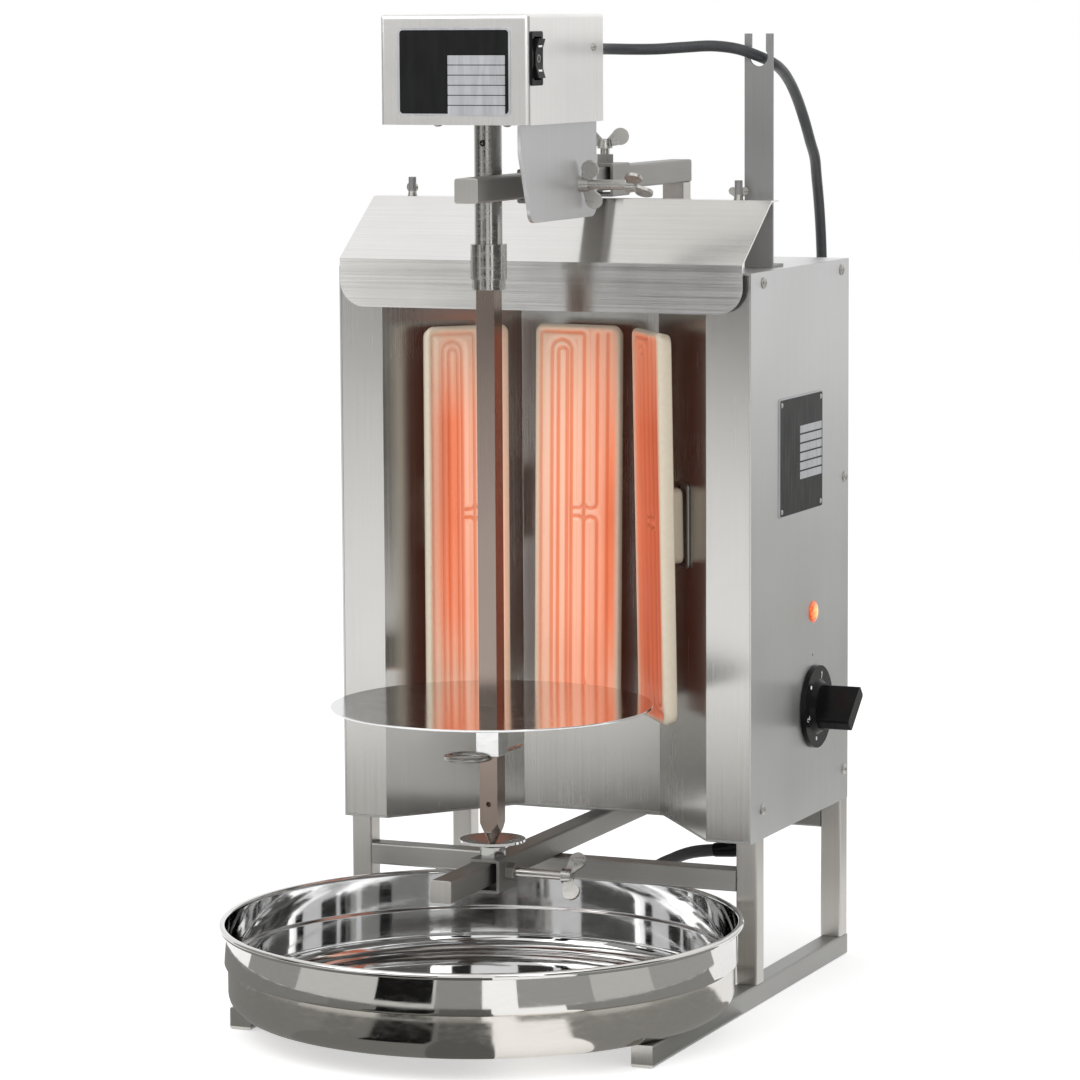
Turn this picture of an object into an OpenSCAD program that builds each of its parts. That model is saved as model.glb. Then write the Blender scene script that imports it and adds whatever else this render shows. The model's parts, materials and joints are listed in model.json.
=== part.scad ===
// Table-top vertical grill: three upright ceramic heaters in a folded reflector
// housing, a turning spit in front of them, and a motor head on a top arm.
// Millimetres. Z is up and the open front faces -Y.

/* [Frame] */
// Side of the square tube of the stand
tube = 14; // [12:0.5:16]
// Wall of the square tubes
tube_wall = 1.5; // [1:0.1:2]
// Height of the housing's underside above the table
leg_h = 106; // [100:1:130]
// How far the rails reach in front of the housing
rail_front = 166; // [140:1:190]
// Distance of the front legs behind the housing's front
front_leg_y = 10; // [4:1:20]
// Air between the lower arm and the housing
arm_gap = 5; // [2:0.5:10]
// Sideways place of the lower arm
arm_x = -3; // [-8:0.5:4]
// How far the lower arm reaches in front of the housing
arm_front = 153; // [145:1:170]
// Side of the rear post and top arm tube
post = 15; // [13:0.5:16]
// Sideways place of the rear post and top arm
post_x = 17; // [16.5:0.5:24]
// Height of the top arm's underside above the housing
top_arm_rise = 48; // [47:0.5:70]
// How far the top arm reaches in front of the housing
top_arm_front = 152; // [140:1:170]

/* [Housing] */
// Width of the housing
housing_w = 282; // [275:1:320]
// Depth of the housing
housing_d = 183; // [165:1:220]
// Height of the housing
housing_h = 358; // [345:1:420]
// Thickness of the stainless sheet
sheet = 1.2; // [0.8:0.1:1.6]
// Width of the flat strip on each side of the recess
strip_w = 30; // [24:1:34]
// Width that each slanted recess wall takes up
recess_dx = 63; // [55:1:66]
// Depth of the recess
recess_dy = 80; // [76:1:90]
// Height of the folded flanges at top and back
flange_h = 14; // [11:0.5:16]
// Height of the bottom plate's folded flanges
skirt_h = 28; // [26:0.5:34]

/* [Hood] */
// Width of the hood
hood_w = 275; // [262:1:280]
// How far the hood's lip stands in front of the housing
hood_front = 6.5; // [4:0.5:15]
// Height of the lip
hood_lip = 31; // [24:1:36]
// Height of the lip's top edge above the housing
hood_lip_rise = 5.5; // [3:0.5:12]
// Depth of the slope behind the lip
hood_slope = 52.5; // [45:0.5:54]
// Height of the hood's rear flange above the housing
hood_rise = 43; // [40:0.5:44]
// Depth of the hood's rear flange
hood_flange = 13; // [11:0.5:15]
// Corner radius at the lip's lower ends
hood_corner = 17; // [8:1:22]
// Sideways place of the hood's studs
stud_x = 113; // [100:1:116]

/* [Cable fork] */
// Width of the fork's strip
fork_w = 19; // [16:0.5:22]
// Thickness of the fork's strip
fork_t = 2; // [1.5:0.1:3]
// Height of the fork's tips above the housing
fork_rise = 147; // [140:1:170]
// Width of the fork's slot
fork_slot = 9.5; // [8.5:0.5:11]
// Diameter of the eye at the slot's end
fork_eye = 12; // [11.5:0.5:13]
// Height of the eye above the housing
fork_eye_rise = 132.5; // [131:0.5:134]

/* [Heaters] */
// Length of a ceramic heater
heater_l = 245; // [200:1:250]
// Width of a ceramic heater
heater_w = 60; // [50:1:62]
// Thickness of a heater's plate
heater_t = 8; // [6:0.5:10]
// Height of the heaters above the housing's underside
heater_rise = 73; // [60:1:90]
// Distance from the recess wall to a heater's back
heater_gap = 14.5; // [13:0.5:18]
// Shift of the side heaters along their walls, towards the front
heater_shift = 3; // [0:0.5:4]
// Height of the raised ribs on a heater's face
rib_h = 1.6; // [1:0.1:2.5]

/* [Spit] */
// How far the spit stands in front of the housing
spit_reach = 78; // [77:0.5:90]
// Side of the square spit
bar = 12; // [10:0.5:12.5]
// Diameter of the meat disc
disc_d = 200; // [150:1:202]
// Thickness of the meat disc
disc_t = 1.5; // [1:0.1:3]
// Height of the meat disc's underside above the table
disc_z = 197; // [190:1:240]
// Diameter of the drive tube
drive_d = 17; // [16:0.5:17.5]
// Diameter of the drive tube's collar
collar_d = 22.3; // [21.5:0.1:24]
// Free lift of the spit before it leaves the cup
spit_lift = 12; // [8:0.5:13]
// Length of the spit's point
point_l = 14; // [10:1:20]
// Length of the spit's turned end
turned_l = 50; // [40:1:60]

/* [Clamps] */
// Inside width of the sliding sleeves
sleeve_in = 17; // [16.5:0.1:18]
// Wall of the sliding sleeves
sleeve_wall = 2; // [1.5:0.1:3]
// Length of the sliding sleeves
sleeve_l = 28.8; // [24:0.1:32]
// Diameter of the clamping screws
screw_d = 6; // [5:0.5:6.5]
// Width across the flats of the hex nuts
nut_af = 10; // [9:0.5:12]
// Height of the hex nuts
nut_h = 5.5; // [4:0.5:7]
// Span of the wings
wing_span = 31; // [24:1:34]
// Height of the wings
wing_h = 13; // [11:0.5:16]
// Diameter of the pivot cup
cup_d = 41; // [30:1:46]
// Height of the pivot cup's rim above the lower arm
cup_rise = 13; // [11:0.5:18]

/* [Motor head] */
// Width of the motor box
box_w = 98; // [92:1:110]
// Depth of the motor box
box_d = 118; // [112:1:130]
// Height of the motor box
box_h = 66; // [60:1:80]
// Height of the motor box above the top arm
box_rise = 31; // [28:0.5:40]
// Distance of the motor box's front from the spit
box_front = 54; // [48:1:60]
// Distance of the motor box's right wall from the spit
box_right = 51; // [46:1:56]
// Side of the gearbox
gear_side = 60; // [50:1:64]
// Height of the gearbox
gear_h = 24; // [18:1:26]
// Diameter of the motor can
motor_d = 52; // [40:1:56]
// Height of the motor can
motor_h = 26; // [18:1:27]
// Thickness of the cheek plate
cheek_t = 2.5; // [2:0.1:3]
// Distance of the cheek plate's outer face from the box's right wall
cheek_in = 5.5; // [4:0.5:7]
// Depth of the cheek plate under the motor box
cheek_drop = 59; // [52:1:64]

// Distance of the head's clamping screw from the box's rear
clamp_back = 26; // [16:0.5:40]
// Reach of the head's clamping screw outside the cheek plate
clamp_out = 31; // [24:1:36]

/* [Drip pan] */
// Outer diameter of the drip pan's rolled rim
pan_d = 327.6; // [290:0.2:328]
// Height of the drip pan
pan_h = 54; // [40:0.5:56]
// Thickness of the drip pan
pan_t = 1; // [0.8:0.1:1.6]
// Clearance between the drip pan's rim and the nearer front leg
pan_gap = 1.5; // [1:0.1:20]
// Sideways place of the drip pan
pan_x = -1; // [-2:0.5:2]
// Radius of the rolled rim
roll_r = 2.6; // [2:0.1:3.2]

/* [Controls] */
// Diameter of the knob's dial
dial_d = 53.7; // [44:0.1:58]
// Distance of the knob behind the housing's front
knob_y = 117; // [100:1:125]
// Height of the knob above the housing's underside
knob_rise = 70.7; // [60:0.1:80]
// How far the knob stands out of the side panel
knob_out = 28.5; // [20:0.5:34]
// Height of the lamp above the housing's underside
lamp_rise = 133; // [120:1:150]
// Diameter of the lamp's lens
lamp_d = 12; // [8:0.5:14]

/* [Leads] */
// Diameter of the mains cord
cord_d = 8; // [7:0.5:8.5]
// Diameter of the motor's lead
lead_d = 7; // [6:0.5:7]

/* [Hidden] */
$fn = 48;
bend = 1.5;
play = 0.2;
tip_play = 0.3;

housing_top = leg_h + housing_h;
side_x = housing_w / 2;
strip_x = side_x - strip_w;
back_x = strip_x - recess_dx;
wall_len = norm([recess_dx, recess_dy]);
wall_turn = atan2(recess_dx, recess_dy);
mitre = sheet * (wall_len - recess_dx) / recess_dy;
inner_x = side_x - sheet;

arm_z = leg_h - arm_gap - tube;
top_arm_z = housing_top + top_arm_rise;
rear_y = housing_d + post;

sleeve_out = sleeve_in + 2 * sleeve_wall;
spit_x = arm_x - tube / 2 + sleeve_in / 2;
spit_y = -spit_reach;
foot_x0 = arm_x - tube / 2 - sleeve_wall;
foot_z0 = arm_z + tube + sleeve_wall - sleeve_out;
head_x0 = post_x - post / 2 - sleeve_wall;
head_z0 = top_arm_z + post + sleeve_wall - sleeve_out;

box_x1 = spit_x + box_right;
box_x0 = box_x1 - box_w;
box_y0 = spit_y - box_front;
box_y1 = box_y0 + box_d;
box_z0 = top_arm_z + post + box_rise;
// Mounting nub on a heater's back
nub = [22, 48];
// Full-length ribs: place as a share of the heater's width, and width
heater_ribs = [[-0.435, 5], [-0.345, 4.5], [0.332, 6.5], [0.44, 5]];
// Interrupted ribs: place, width and distance of their outer ends from the heater's ends
split_ribs = [[0.01, 8.5, 16], [0.18, 8.5, 13]];
hairpin_x = -0.185;
hairpin_r = 3.2;

box_wall = 1.2;
box_mid = [(box_x0 + box_x1) / 2, (box_y0 + box_y1) / 2, box_z0];
box_screw_in = 18.6;
box_screw_rise = 45.5;
rocker_pin_d = 2.4;
cheek_x1 = box_x1 - cheek_in;
clamp_y = box_y1 - clamp_back;
clamp_z = top_arm_z + post / 2;
stop_y = 65;
plug_cap = 1;
screw_head_r = 3.5;
screw_shank_r = 1.5;
vent_h = 40;
box_screw_r = 2.6;
bottom_screw_rise = 19;

cup_z = arm_z + tube + cup_rise;
cup_depth = 3.6;
tip_z = cup_z - cup_depth + tip_play;
socket_z0 = 456.2 - 464 + housing_top;
collar_z0 = socket_z0 + 6.2;
collar_z1 = socket_z0 + 27.8;
turned_z0 = socket_z0 + 13.8;
drive_z1 = box_z0 + 10;
hub_side = bar + 3;
hub_l = 30;
pin_r = 1.5;
pin_z = disc_z - hub_l - pin_r - 0.1;
ring_r = 13.5;

pan_z = tube;
leg_in = side_x - tube - abs(pan_x);
pan_y = front_leg_y - sqrt(max(0, pow(pan_d / 2 + pan_gap, 2) - pow(leg_in, 2)));
pan_wall_r = pan_d / 2 - 2 * roll_r;
pan_step = 2.8;
pan_corner = 11;

knob_z = leg_h + knob_rise;
lamp_z = leg_h + lamp_rise;
// Panel screws: distance behind the front and height above the underside
screw_places = [
    [flange_h + 8, housing_h - flange_h / 2], [housing_d - 15, housing_h - flange_h / 2],
    [housing_d - 8, 0.6 * housing_h], [housing_d - 8, 20], [20, bottom_screw_rise]];

hood_z = housing_top + hood_rise;
hood_t = 1.2;
hood_back = hood_slope - hood_front;
fork_x = 123.75;
fork_y = hood_back + hood_flange + 0.5;

mid_x = (pan_x - pan_d / 2 + side_x + knob_out) / 2;
mid_y = (pan_y - pan_d / 2 + rear_y + plug_cap) / 2;

coil_at = [-76, 250, 0];
coil_r = 48;
plug_at = [-158, 254, 19];
gland_at = [120, 50, 106];
lead_end = [103, 183, 418];
lead_gland_l = 16;
regulator = [34, 44, 48];
boot_r = 11.5;
boot_turn = 82;
boot_d = 11;
boot_l = 12.7;

// Hand-set route of the mains cord from its boot down to the coil
mains_route = [
    [97.5, 50, 90.8], [91.6, 50, 90], [85.5, 50.9, 88.9], [79.3, 52.6, 87.2], [72.6, 55.5, 84.6],
    [64, 60.5, 80.5], [54, 66.7, 75.5], [42, 75.3, 67.5], [27, 87, 55.3], [13, 100, 41], [1, 116, 26],
    [-8, 135, 13], [-15, 156, 6], [-18, 178, 4], [-20, 202, 4], [-20, 224, 4]];
// Hand-set route of the mains cord from the coil to its plug
plug_route = [
    [-106, 306, 8.6], [-118, 304.8, 7], [-130, 301.2, 6.6], [-141, 295, 8.6], [-150, 286.5, 12.8],
    [-155.8, 275.6, 16.8], [-158, 264.5, 19], [-158, 254, 19]];
// Hand-set route of the motor's lead from the box through the fork to the back panel
lead_route = [
    [38, 0, 602], [38, 8, 602], [41.6, 19.4, 601.8], [50.2, 29.4, 601.5], [63, 36.8, 601.5],
    [81, 41.8, 602.6], [99, 46, 603.3], [113, 51.5, 601.3], [123.3, 60.5, 596.8], [128.2, 73, 592.5],
    [128.5, 89, 587.5], [127, 106, 581], [125.4, 122, 572.6], [123.4, 138, 562.7], [122, 152, 551.4],
    [120, 166, 540.6], [117.5, 182, 529.4], [113.5, 197, 515.8], [110.4, 209.6, 501.5],
    [107.7, 220.6, 485], [105.5, 229, 469], [104, 234, 458.5], [103.3, 235.4, 447.5],
    [103, 232.8, 436.3], [103, 226.2, 426.8], [103, 216.5, 420.3], [103, 206, 418.1], [103, 199, 418]];

module placed() translate([-mid_x, -mid_y, 0]) children();

// 2D shapes

module rounded_rect(w, d, r) {
    square([w - 2 * r, d], center = true);
    square([w, d - 2 * r], center = true);
    for (x = [-1, 1], y = [-1, 1]) translate([x * (w / 2 - r), y * (d / 2 - r)]) circle(r);
}

module tube_ring(side) {
    difference() {
        rounded_rect(side, side, bend);
        square(side - 2 * tube_wall, center = true);
    }
}

module hexagon(across) circle(d = across / cos(30), $fn = 6);

module recess_plan(x, y, back = housing_d) {
    polygon([
        [-side_x + sheet, y], [-strip_x - x, y], [-back_x - x, recess_dy + y], [back_x + x, recess_dy + y],
        [strip_x + x, y], [side_x - sheet, y], [side_x - sheet, back], [-side_x + sheet, back]]);
}

// Square tubes, given by their low corner

module tube_up(x, y, z0, z1, side) {
    translate([x + side / 2, y + side / 2, z0]) linear_extrude(z1 - z0) tube_ring(side);
}

module tube_back(x, y0, y1, z, side) {
    translate([x + side / 2, y1, z + side / 2]) rotate([90, 0, 0]) linear_extrude(y1 - y0) tube_ring(side);
}

module tube_across(x0, x1, y, z, side) {
    translate([x0, y + side / 2, z + side / 2]) rotate([0, 90, 0]) linear_extrude(x1 - x0) tube_ring(side);
}

module tube_plug(side) {
    translate([0, 0, -8]) linear_extrude(8) square(side - 2 * tube_wall - play, center = true);
    linear_extrude(plug_cap) rounded_rect(side, side, bend);
}

// Fasteners, along +Z from the face that they sit on

module wing(height, hub_h, span, r) {
    x = span / 2 - r;
    y = height - r;
    rotate([90, 0, 0]) translate([0, 0, -1]) linear_extrude(2) {
        translate([x, y]) circle(r);
        polygon([[1, 0.5], [x + 0.45 * r, y - 0.85 * r], [x - 0.8 * r, y + 0.55 * r], [1, hub_h - 0.5]]);
    }
}

module wing_hub(height = wing_h, hub_h = 6, hub_r = 5, span = wing_span, r = 5.5) {
    cylinder(h = hub_h, r1 = hub_r, r2 = hub_r - 1);
    wing(height, hub_h, span, r);
    mirror([1, 0, 0]) wing(height, hub_h, span, r);
}

module wing_nut(bore, span = wing_span, r = 5.5) {
    difference() {
        wing_hub(span = span, r = r);
        translate([0, 0, -1]) cylinder(h = wing_h + 2, d = bore);
    }
}

module wing_screw(shank) {
    cylinder(h = shank, d = screw_d);
    translate([0, 0, shank]) wing_hub();
}

module nut(bore, height = nut_h) {
    difference() {
        linear_extrude(height) hexagon(nut_af);
        translate([0, 0, -1]) cylinder(h = height + 2, d = bore);
    }
}

module screw_head(r = 3.5) {
    difference() {
        rotate_extrude() intersection() {
            translate([0, 2 - r * 1.6]) circle(r * 1.6);
            square([r, 4]);
        }
        for (a = [0, 90]) rotate(a) translate([-2, -0.4, 1]) cube([4, 0.8, 3]);
    }
    translate([0, 0, -5]) cylinder(h = 5, r = screw_shank_r);
}

// Ring that slides along an arm: low corner at the origin, arm along Y
module sleeve_ring() {
    translate([sleeve_out / 2, sleeve_l, sleeve_out / 2]) rotate([90, 0, 0]) linear_extrude(sleeve_l)
        difference() {
            rounded_rect(sleeve_out, sleeve_out, bend);
            square(sleeve_in, center = true);
        }
}

// Tube swept through a list of points

function unit(v) = v / norm(v);
function heading(p, i) = unit(p[min(i + 1, len(p) - 1)] - p[max(i - 1, 0)]);
function flat_on(v, d) = unit(v - (v * d) * d);
function sides(p, i, v) = i == len(p) ? [] :
    let (s = flat_on(v, heading(p, i))) concat([s], sides(p, i + 1, s));

module sweep(route, d, n = 10) {
    side = sides(route, 0, [0.1, 0.2, 1]);
    points = [for (i = [0 : len(route) - 1]) let (h = heading(route, i), s = side[i], t = cross(h, s))
        for (k = [0 : n - 1]) route[i] + d / 2 * (cos(360 * k / n) * s + sin(360 * k / n) * t)];
    last = (len(route) - 1) * n;
    faces = concat(
        [[for (k = [0 : n - 1]) k]],
        [[for (k = [n - 1 : -1 : 0]) last + k]],
        [for (i = [0 : len(route) - 2], k = [0 : n - 1]) let (m = (k + 1) % n)
            [i * n + k, (i + 1) * n + k, (i + 1) * n + m, i * n + m]]);
    polyhedron(points, faces);
}

// Stand

module left_rail() color("silver") placed() tube_back(-side_x, -rail_front, housing_d, 0, tube);

module right_rail() color("silver") placed() tube_back(side_x - tube, -rail_front, housing_d, 0, tube);

module leg_pair(y) for (x = [-side_x, side_x - tube]) tube_up(x, y, tube, leg_h, tube);

module front_legs() color("silver") placed() leg_pair(front_leg_y);

module rear_legs() color("silver") placed() leg_pair(housing_d - tube);

module front_crossbar() color("silver") placed()
    tube_across(-side_x + tube, side_x - tube, front_leg_y, arm_z - tube, tube);

module rear_crossbar() color("silver") placed()
    tube_across(-side_x + tube, side_x - tube, housing_d - tube, arm_z, tube);

module lower_arm() color("silver") placed()
    tube_back(arm_x - tube / 2, -arm_front, housing_d - tube, arm_z, tube);

module rear_post() color("silver") placed()
    tube_up(post_x - post / 2, housing_d, arm_z, top_arm_z, post);

module top_arm() color("silver") placed()
    tube_back(post_x - post / 2, -top_arm_front, rear_y, top_arm_z, post);

module tube_plugs() color("gray") placed() {
    for (x = [-side_x + tube / 2, side_x - tube / 2]) {
        translate([x, -rail_front, tube / 2]) rotate([90, 0, 0]) tube_plug(tube);
        translate([x, housing_d, tube / 2]) rotate([-90, 0, 0]) tube_plug(tube);
    }
    translate([arm_x, -arm_front, arm_z + tube / 2]) rotate([90, 0, 0]) tube_plug(tube);
    translate([post_x, -top_arm_front, top_arm_z + post / 2]) rotate([90, 0, 0]) tube_plug(post);
    translate([post_x, rear_y, top_arm_z + post / 2]) rotate([-90, 0, 0]) tube_plug(post);
    translate([post_x, housing_d + post / 2, arm_z]) rotate([180, 0, 0]) tube_plug(post);
}

// Housing: folded sheets screwed together at their flanges

module side_flange(y0, y1, z0, h) {
    for (m = [0, 1]) mirror([m, 0, 0]) translate([inner_x - sheet, y0, z0]) cube([sheet, y1 - y0, h]);
}

module bottom_plate() color("silver") placed() difference() {
    union() {
        translate([0, 0, leg_h]) linear_extrude(sheet) recess_plan(0, 0);
        side_flange(flange_h + 1, housing_d - sheet, leg_h + sheet, skirt_h - sheet);
    }
    translate([gland_at.x, gland_at.y, leg_h - 1]) cylinder(h = 4, d = cord_d + 1);
    panel_holes();
}

module reflector() color("lightgray") placed() {
    translate([0, 0, leg_h + sheet]) linear_extrude(housing_h - 2 * sheet) difference() {
        recess_plan(0, 0);
        translate([0, sheet]) recess_plan(mitre, 0, housing_d + 1);
    }
    side_flange(sheet, flange_h, leg_h + sheet, housing_h - 2 * sheet);
}

module screw_hole() cylinder(h = 12, r = screw_shank_r + 0.1, center = true);

module panel_holes() for (m = [0, 1]) mirror([m, 0, 0]) for (p = screw_places)
    translate([side_x, p.x, leg_h + p.y]) rotate([0, 90, 0]) screw_hole();

module side_panel() difference() {
    translate([side_x - sheet, 0, leg_h]) cube([sheet, housing_d, housing_h]);
    panel_holes();
}

module left_side_panel() color("silver") placed() mirror([1, 0, 0]) side_panel();

module right_side_panel() color("silver") placed() difference() {
    side_panel();
    translate([side_x, knob_y, knob_z]) rotate([0, 90, 0]) cylinder(h = 10, d = 7, center = true);
    translate([side_x, knob_y - 2.5, lamp_z]) rotate([0, 90, 0])
        cylinder(h = 10, d = lamp_d - 1, center = true);
    translate([side_x, knob_y - 3, knob_z + 34]) rotate([0, 90, 0]) cylinder(h = 10, d = 2, center = true);
}

module back_panel() color("silver") placed() {
    difference() {
        translate([-inner_x, housing_d - sheet, leg_h + sheet])
            cube([2 * inner_x, sheet, housing_h - 2 * sheet]);
        translate([lead_end.x, housing_d, lead_end.z]) rotate([90, 0, 0])
            cylinder(h = 10, d = lead_d + 1, center = true);
        for (i = [-3 : 3]) translate([-60 + i * 9, housing_d, leg_h + 60]) rotate([90, 0, 0])
            linear_extrude(10, center = true) rounded_rect(4, vent_h, 1.9);
    }
    difference() {
        side_flange(housing_d - sheet - flange_h, housing_d - sheet, leg_h + skirt_h + 1,
            housing_h - skirt_h - flange_h - 2);
        panel_holes();
    }
}

module top_cover() color("silver") placed() {
    translate([0, 0, housing_top - sheet]) linear_extrude(sheet) recess_plan(0, 0);
    difference() {
        side_flange(flange_h + 1, housing_d - sheet, housing_top - flange_h, flange_h - sheet);
        panel_holes();
    }
}

module panel_screws() color("gainsboro") placed()
    for (m = [0, 1]) mirror([m, 0, 0]) for (p = screw_places)
        translate([side_x, p.x, leg_h + p.y]) rotate([0, 90, 0]) screw_head(screw_head_r);

// Hood over the heaters

module hood_side() {
    t = hood_t;
    k = (norm([hood_slope, hood_rise - hood_lip_rise]) - hood_slope) / (hood_rise - hood_lip_rise) * t;
    q = (norm([hood_slope, hood_rise - hood_lip_rise]) - hood_rise + hood_lip_rise) / hood_slope * t;
    z0 = housing_top + hood_lip_rise;
    polygon([
        [-hood_front, z0 - hood_lip], [-hood_front, z0], [hood_back, hood_z],
        [hood_back + hood_flange, hood_z],
        [hood_back + hood_flange, hood_z - t], [hood_back + k, hood_z - t], [-hood_front + t, z0 - q],
        [-hood_front + t, z0 - hood_lip]]);
}

module hood() color("gainsboro") placed() difference() {
    rotate([90, 0, 90]) linear_extrude(hood_w, center = true) hood_side();
    for (m = [0, 1]) mirror([m, 0, 0]) {
        translate([stud_x, hood_back + hood_flange / 2, hood_z]) cylinder(h = 6, d = 5.5, center = true);
        translate([hood_w / 2, -hood_front + 5, housing_top + hood_lip_rise - hood_lip]) rotate([90, 0, 0])
            linear_extrude(10) difference() {
                translate([-hood_corner, -1]) square([hood_corner + 1, hood_corner + 1]);
                translate([-hood_corner, hood_corner]) circle(hood_corner);
            }
    }
}

// Foot on the top cover, upright behind the flange and a tab with a stud under it
module hood_upright(tab_x0, tab_x1, top) {
    y0 = fork_y;
    under = hood_z - hood_t;
    translate([tab_x0, y0, housing_top]) cube([tab_x1 - tab_x0, fork_t, top - housing_top]);
    translate([tab_x0, y0, housing_top]) cube([tab_x1 - tab_x0, 20, fork_t]);
    translate([min(tab_x0, stud_x - 8), hood_back + 2, under - fork_t])
        cube([tab_x1 - min(tab_x0, stud_x - 8), y0 + fork_t - hood_back - 2, fork_t]);
    translate([stud_x, hood_back + hood_flange / 2, under - fork_t]) cylinder(h = 15.5, d = 5);
}

module hood_bracket() color("silver") placed() mirror([1, 0, 0])
    hood_upright(fork_x - fork_w / 2, fork_x + fork_w / 2, hood_z - hood_t);

module cable_fork() color("silver") placed() difference() {
    hood_upright(fork_x - fork_w / 2, fork_x + fork_w / 2, housing_top + fork_rise);
    translate([fork_x, fork_y, housing_top + fork_eye_rise]) rotate([90, 0, 0])
        cylinder(h = 20, d = fork_eye, center = true);
    translate([fork_x - fork_slot / 2, fork_y - 5, housing_top + fork_eye_rise]) cube([fork_slot, 20, 60]);
}

module hood_nut() translate([stud_x, hood_back + hood_flange / 2, hood_z]) rotate(35)
    scale(0.62) wing_nut(8.2, 20.5, 4);

module left_hood_nut() color("gainsboro") placed() mirror([1, 0, 0]) hood_nut();

module right_hood_nut() color("gainsboro") placed() hood_nut();

// Ceramic heater: face towards -Y, back at y = 0, lower edge at z = 0

// Low round bar on the face, given by its middle and width
function rib_r(w) = (w * w / 4 + rib_h * rib_h) / (2 * rib_h);

module rib(x, w, z0, z1) translate([x, rib_r(w) - rib_h - heater_t, 0]) {
    translate([0, 0, z0]) cylinder(h = z1 - z0, r = rib_r(w));
    for (z = [z0, z1]) translate([0, 0, z]) sphere(rib_r(w));
}

module rib_turn(x, w, z, r) translate([x, rib_r(w) - rib_h - heater_t, z]) rotate([90, 0, 0])
    rotate_extrude(angle = 180) translate([r, 0]) circle(rib_r(w));

// The heating wire's ribs: a hairpin on the left, two interrupted ribs in the middle
// and plain ribs along both edges
module wire_ribs() {
    top = heater_l - 12;
    half = heater_l / 2;
    for (p = heater_ribs) rib(p.x * heater_w, p.y, 12, top);
    for (p = split_ribs) {
        rib(p.x * heater_w, p.y, p.z, half - 6);
        rib(p.x * heater_w, p.y, half + 6, heater_l - p.z);
    }
    for (x = [-1, 1]) rib(hairpin_x * heater_w + x * hairpin_r, 5, 12, top - 4);
    rib_turn(hairpin_x * heater_w, 5, top - 4, hairpin_r);
}

module heater() {
    translate([0, 0, heater_l / 2]) rotate([90, 0, 0]) linear_extrude(heater_t)
        rounded_rect(heater_w, heater_l, 6);
    translate([0, 12, heater_l / 2]) rotate([90, 0, 0]) linear_extrude(12) rounded_rect(nub.x, nub.y, 5);
    intersection() {
        wire_ribs();
        translate([-heater_w / 2, -2 * heater_t, 0]) cube([heater_w, heater_t + 1, heater_l]);
    }
}

module on_wall(turn) {
    // Middle of a recess wall, facing into the recess
    if (turn == 0) translate([0, recess_dy - heater_gap, 0]) children();
    else mirror([turn < 0 ? 1 : 0, 0, 0])
        translate([(strip_x + back_x) / 2, recess_dy / 2, 0]) rotate(90 + wall_turn - 180)
            translate([heater_shift, -heater_gap, 0]) children();
}

module left_heater() color("mistyrose") placed() on_wall(-1)
    translate([0, 0, leg_h + heater_rise]) heater();

module middle_heater() color("mistyrose") placed() on_wall(0)
    translate([0, 0, leg_h + heater_rise]) heater();

module right_heater() color("mistyrose") placed() on_wall(1)
    translate([0, 0, leg_h + heater_rise]) heater();

module heater_holders() color("dimgray") placed() for (turn = [-1, 0, 1]) on_wall(turn)
    translate([0, heater_gap, leg_h + heater_rise + heater_l / 2]) rotate([90, 0, 0])
        linear_extrude(heater_gap) difference() {
            rounded_rect(nub.x + 12, nub.y + 12, 3);
            rounded_rect(nub.x + 2 * play, nub.y + 2 * play, 5);
        }

// Controls on the right side panel

module energy_regulator() color("ivory") placed()
    translate([inner_x - regulator.x, knob_y - regulator.y / 2, knob_z]) difference() {
        translate([0, 0, -regulator.z / 2]) cube(regulator);
        translate([10, regulator.y / 2, 0]) rotate([0, 90, 0]) cylinder(h = regulator.x, d = 6.2);
    }

module indicator_lamp() color("orangered") placed() translate([side_x, knob_y - 2.5, lamp_z])
    rotate([0, 90, 0]) {
        translate([0, 0, -22]) cylinder(h = 22, d = lamp_d - 1.4);
        cylinder(h = 1, d = lamp_d + 2);
        rotate_extrude() intersection() {
            translate([0, 3 - lamp_d]) circle(lamp_d);
            square([lamp_d / 2, 4]);
        }
    }

module terminal_block() color("white") placed() translate([70, housing_d - sheet - 20, leg_h + sheet])
    difference() {
        cube([44, 18, 20]);
        for (i = [0 : 3]) translate([6 + i * 10.6, 9, 12]) cylinder(h = 10, d = 5);
    }

module knob() color("black") placed() translate([side_x, knob_y, knob_z]) rotate([0, 90, 0]) {
    translate([0, 0, -20]) cylinder(h = 21, d = 6);
    translate([0, 0, 0.4]) cylinder(h = 3, d = dial_d);
    translate([0, 0, 3.4]) cylinder(h = 3, d1 = 36, d2 = 31);
    rotate(41.6) translate([0, 0, 3.4]) {
        linear_extrude(knob_out - 3.4) rounded_rect(9.7, 31, 2.2);
    }
}

// Mains cord

module mains_gland() color("black") placed() translate([gland_at.x, gland_at.y, leg_h]) {
    translate([0, 0, -2]) cylinder(h = 2, d = 16);
    translate([-boot_r, 0, -2]) rotate([90, 0, 0]) rotate([0, 0, -boot_turn]) {
        rotate_extrude(angle = boot_turn) translate([boot_r, 0]) circle(d = boot_d);
        translate([boot_r, 0, 0]) rotate([90, 0, 0]) cylinder(h = boot_l, d1 = boot_d, d2 = cord_d + 1);
    }
}

module mains_cord() color("black") placed() sweep(mains_route, cord_d, 8);

module mains_coil() color("black") placed() translate(coil_at) rotate_extrude()
    translate([coil_r - 1.5 * cord_d, 0]) square([3 * cord_d, 2 * cord_d]);

module mains_cord_end() color("black") placed() sweep(plug_route, cord_d, 8);

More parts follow.
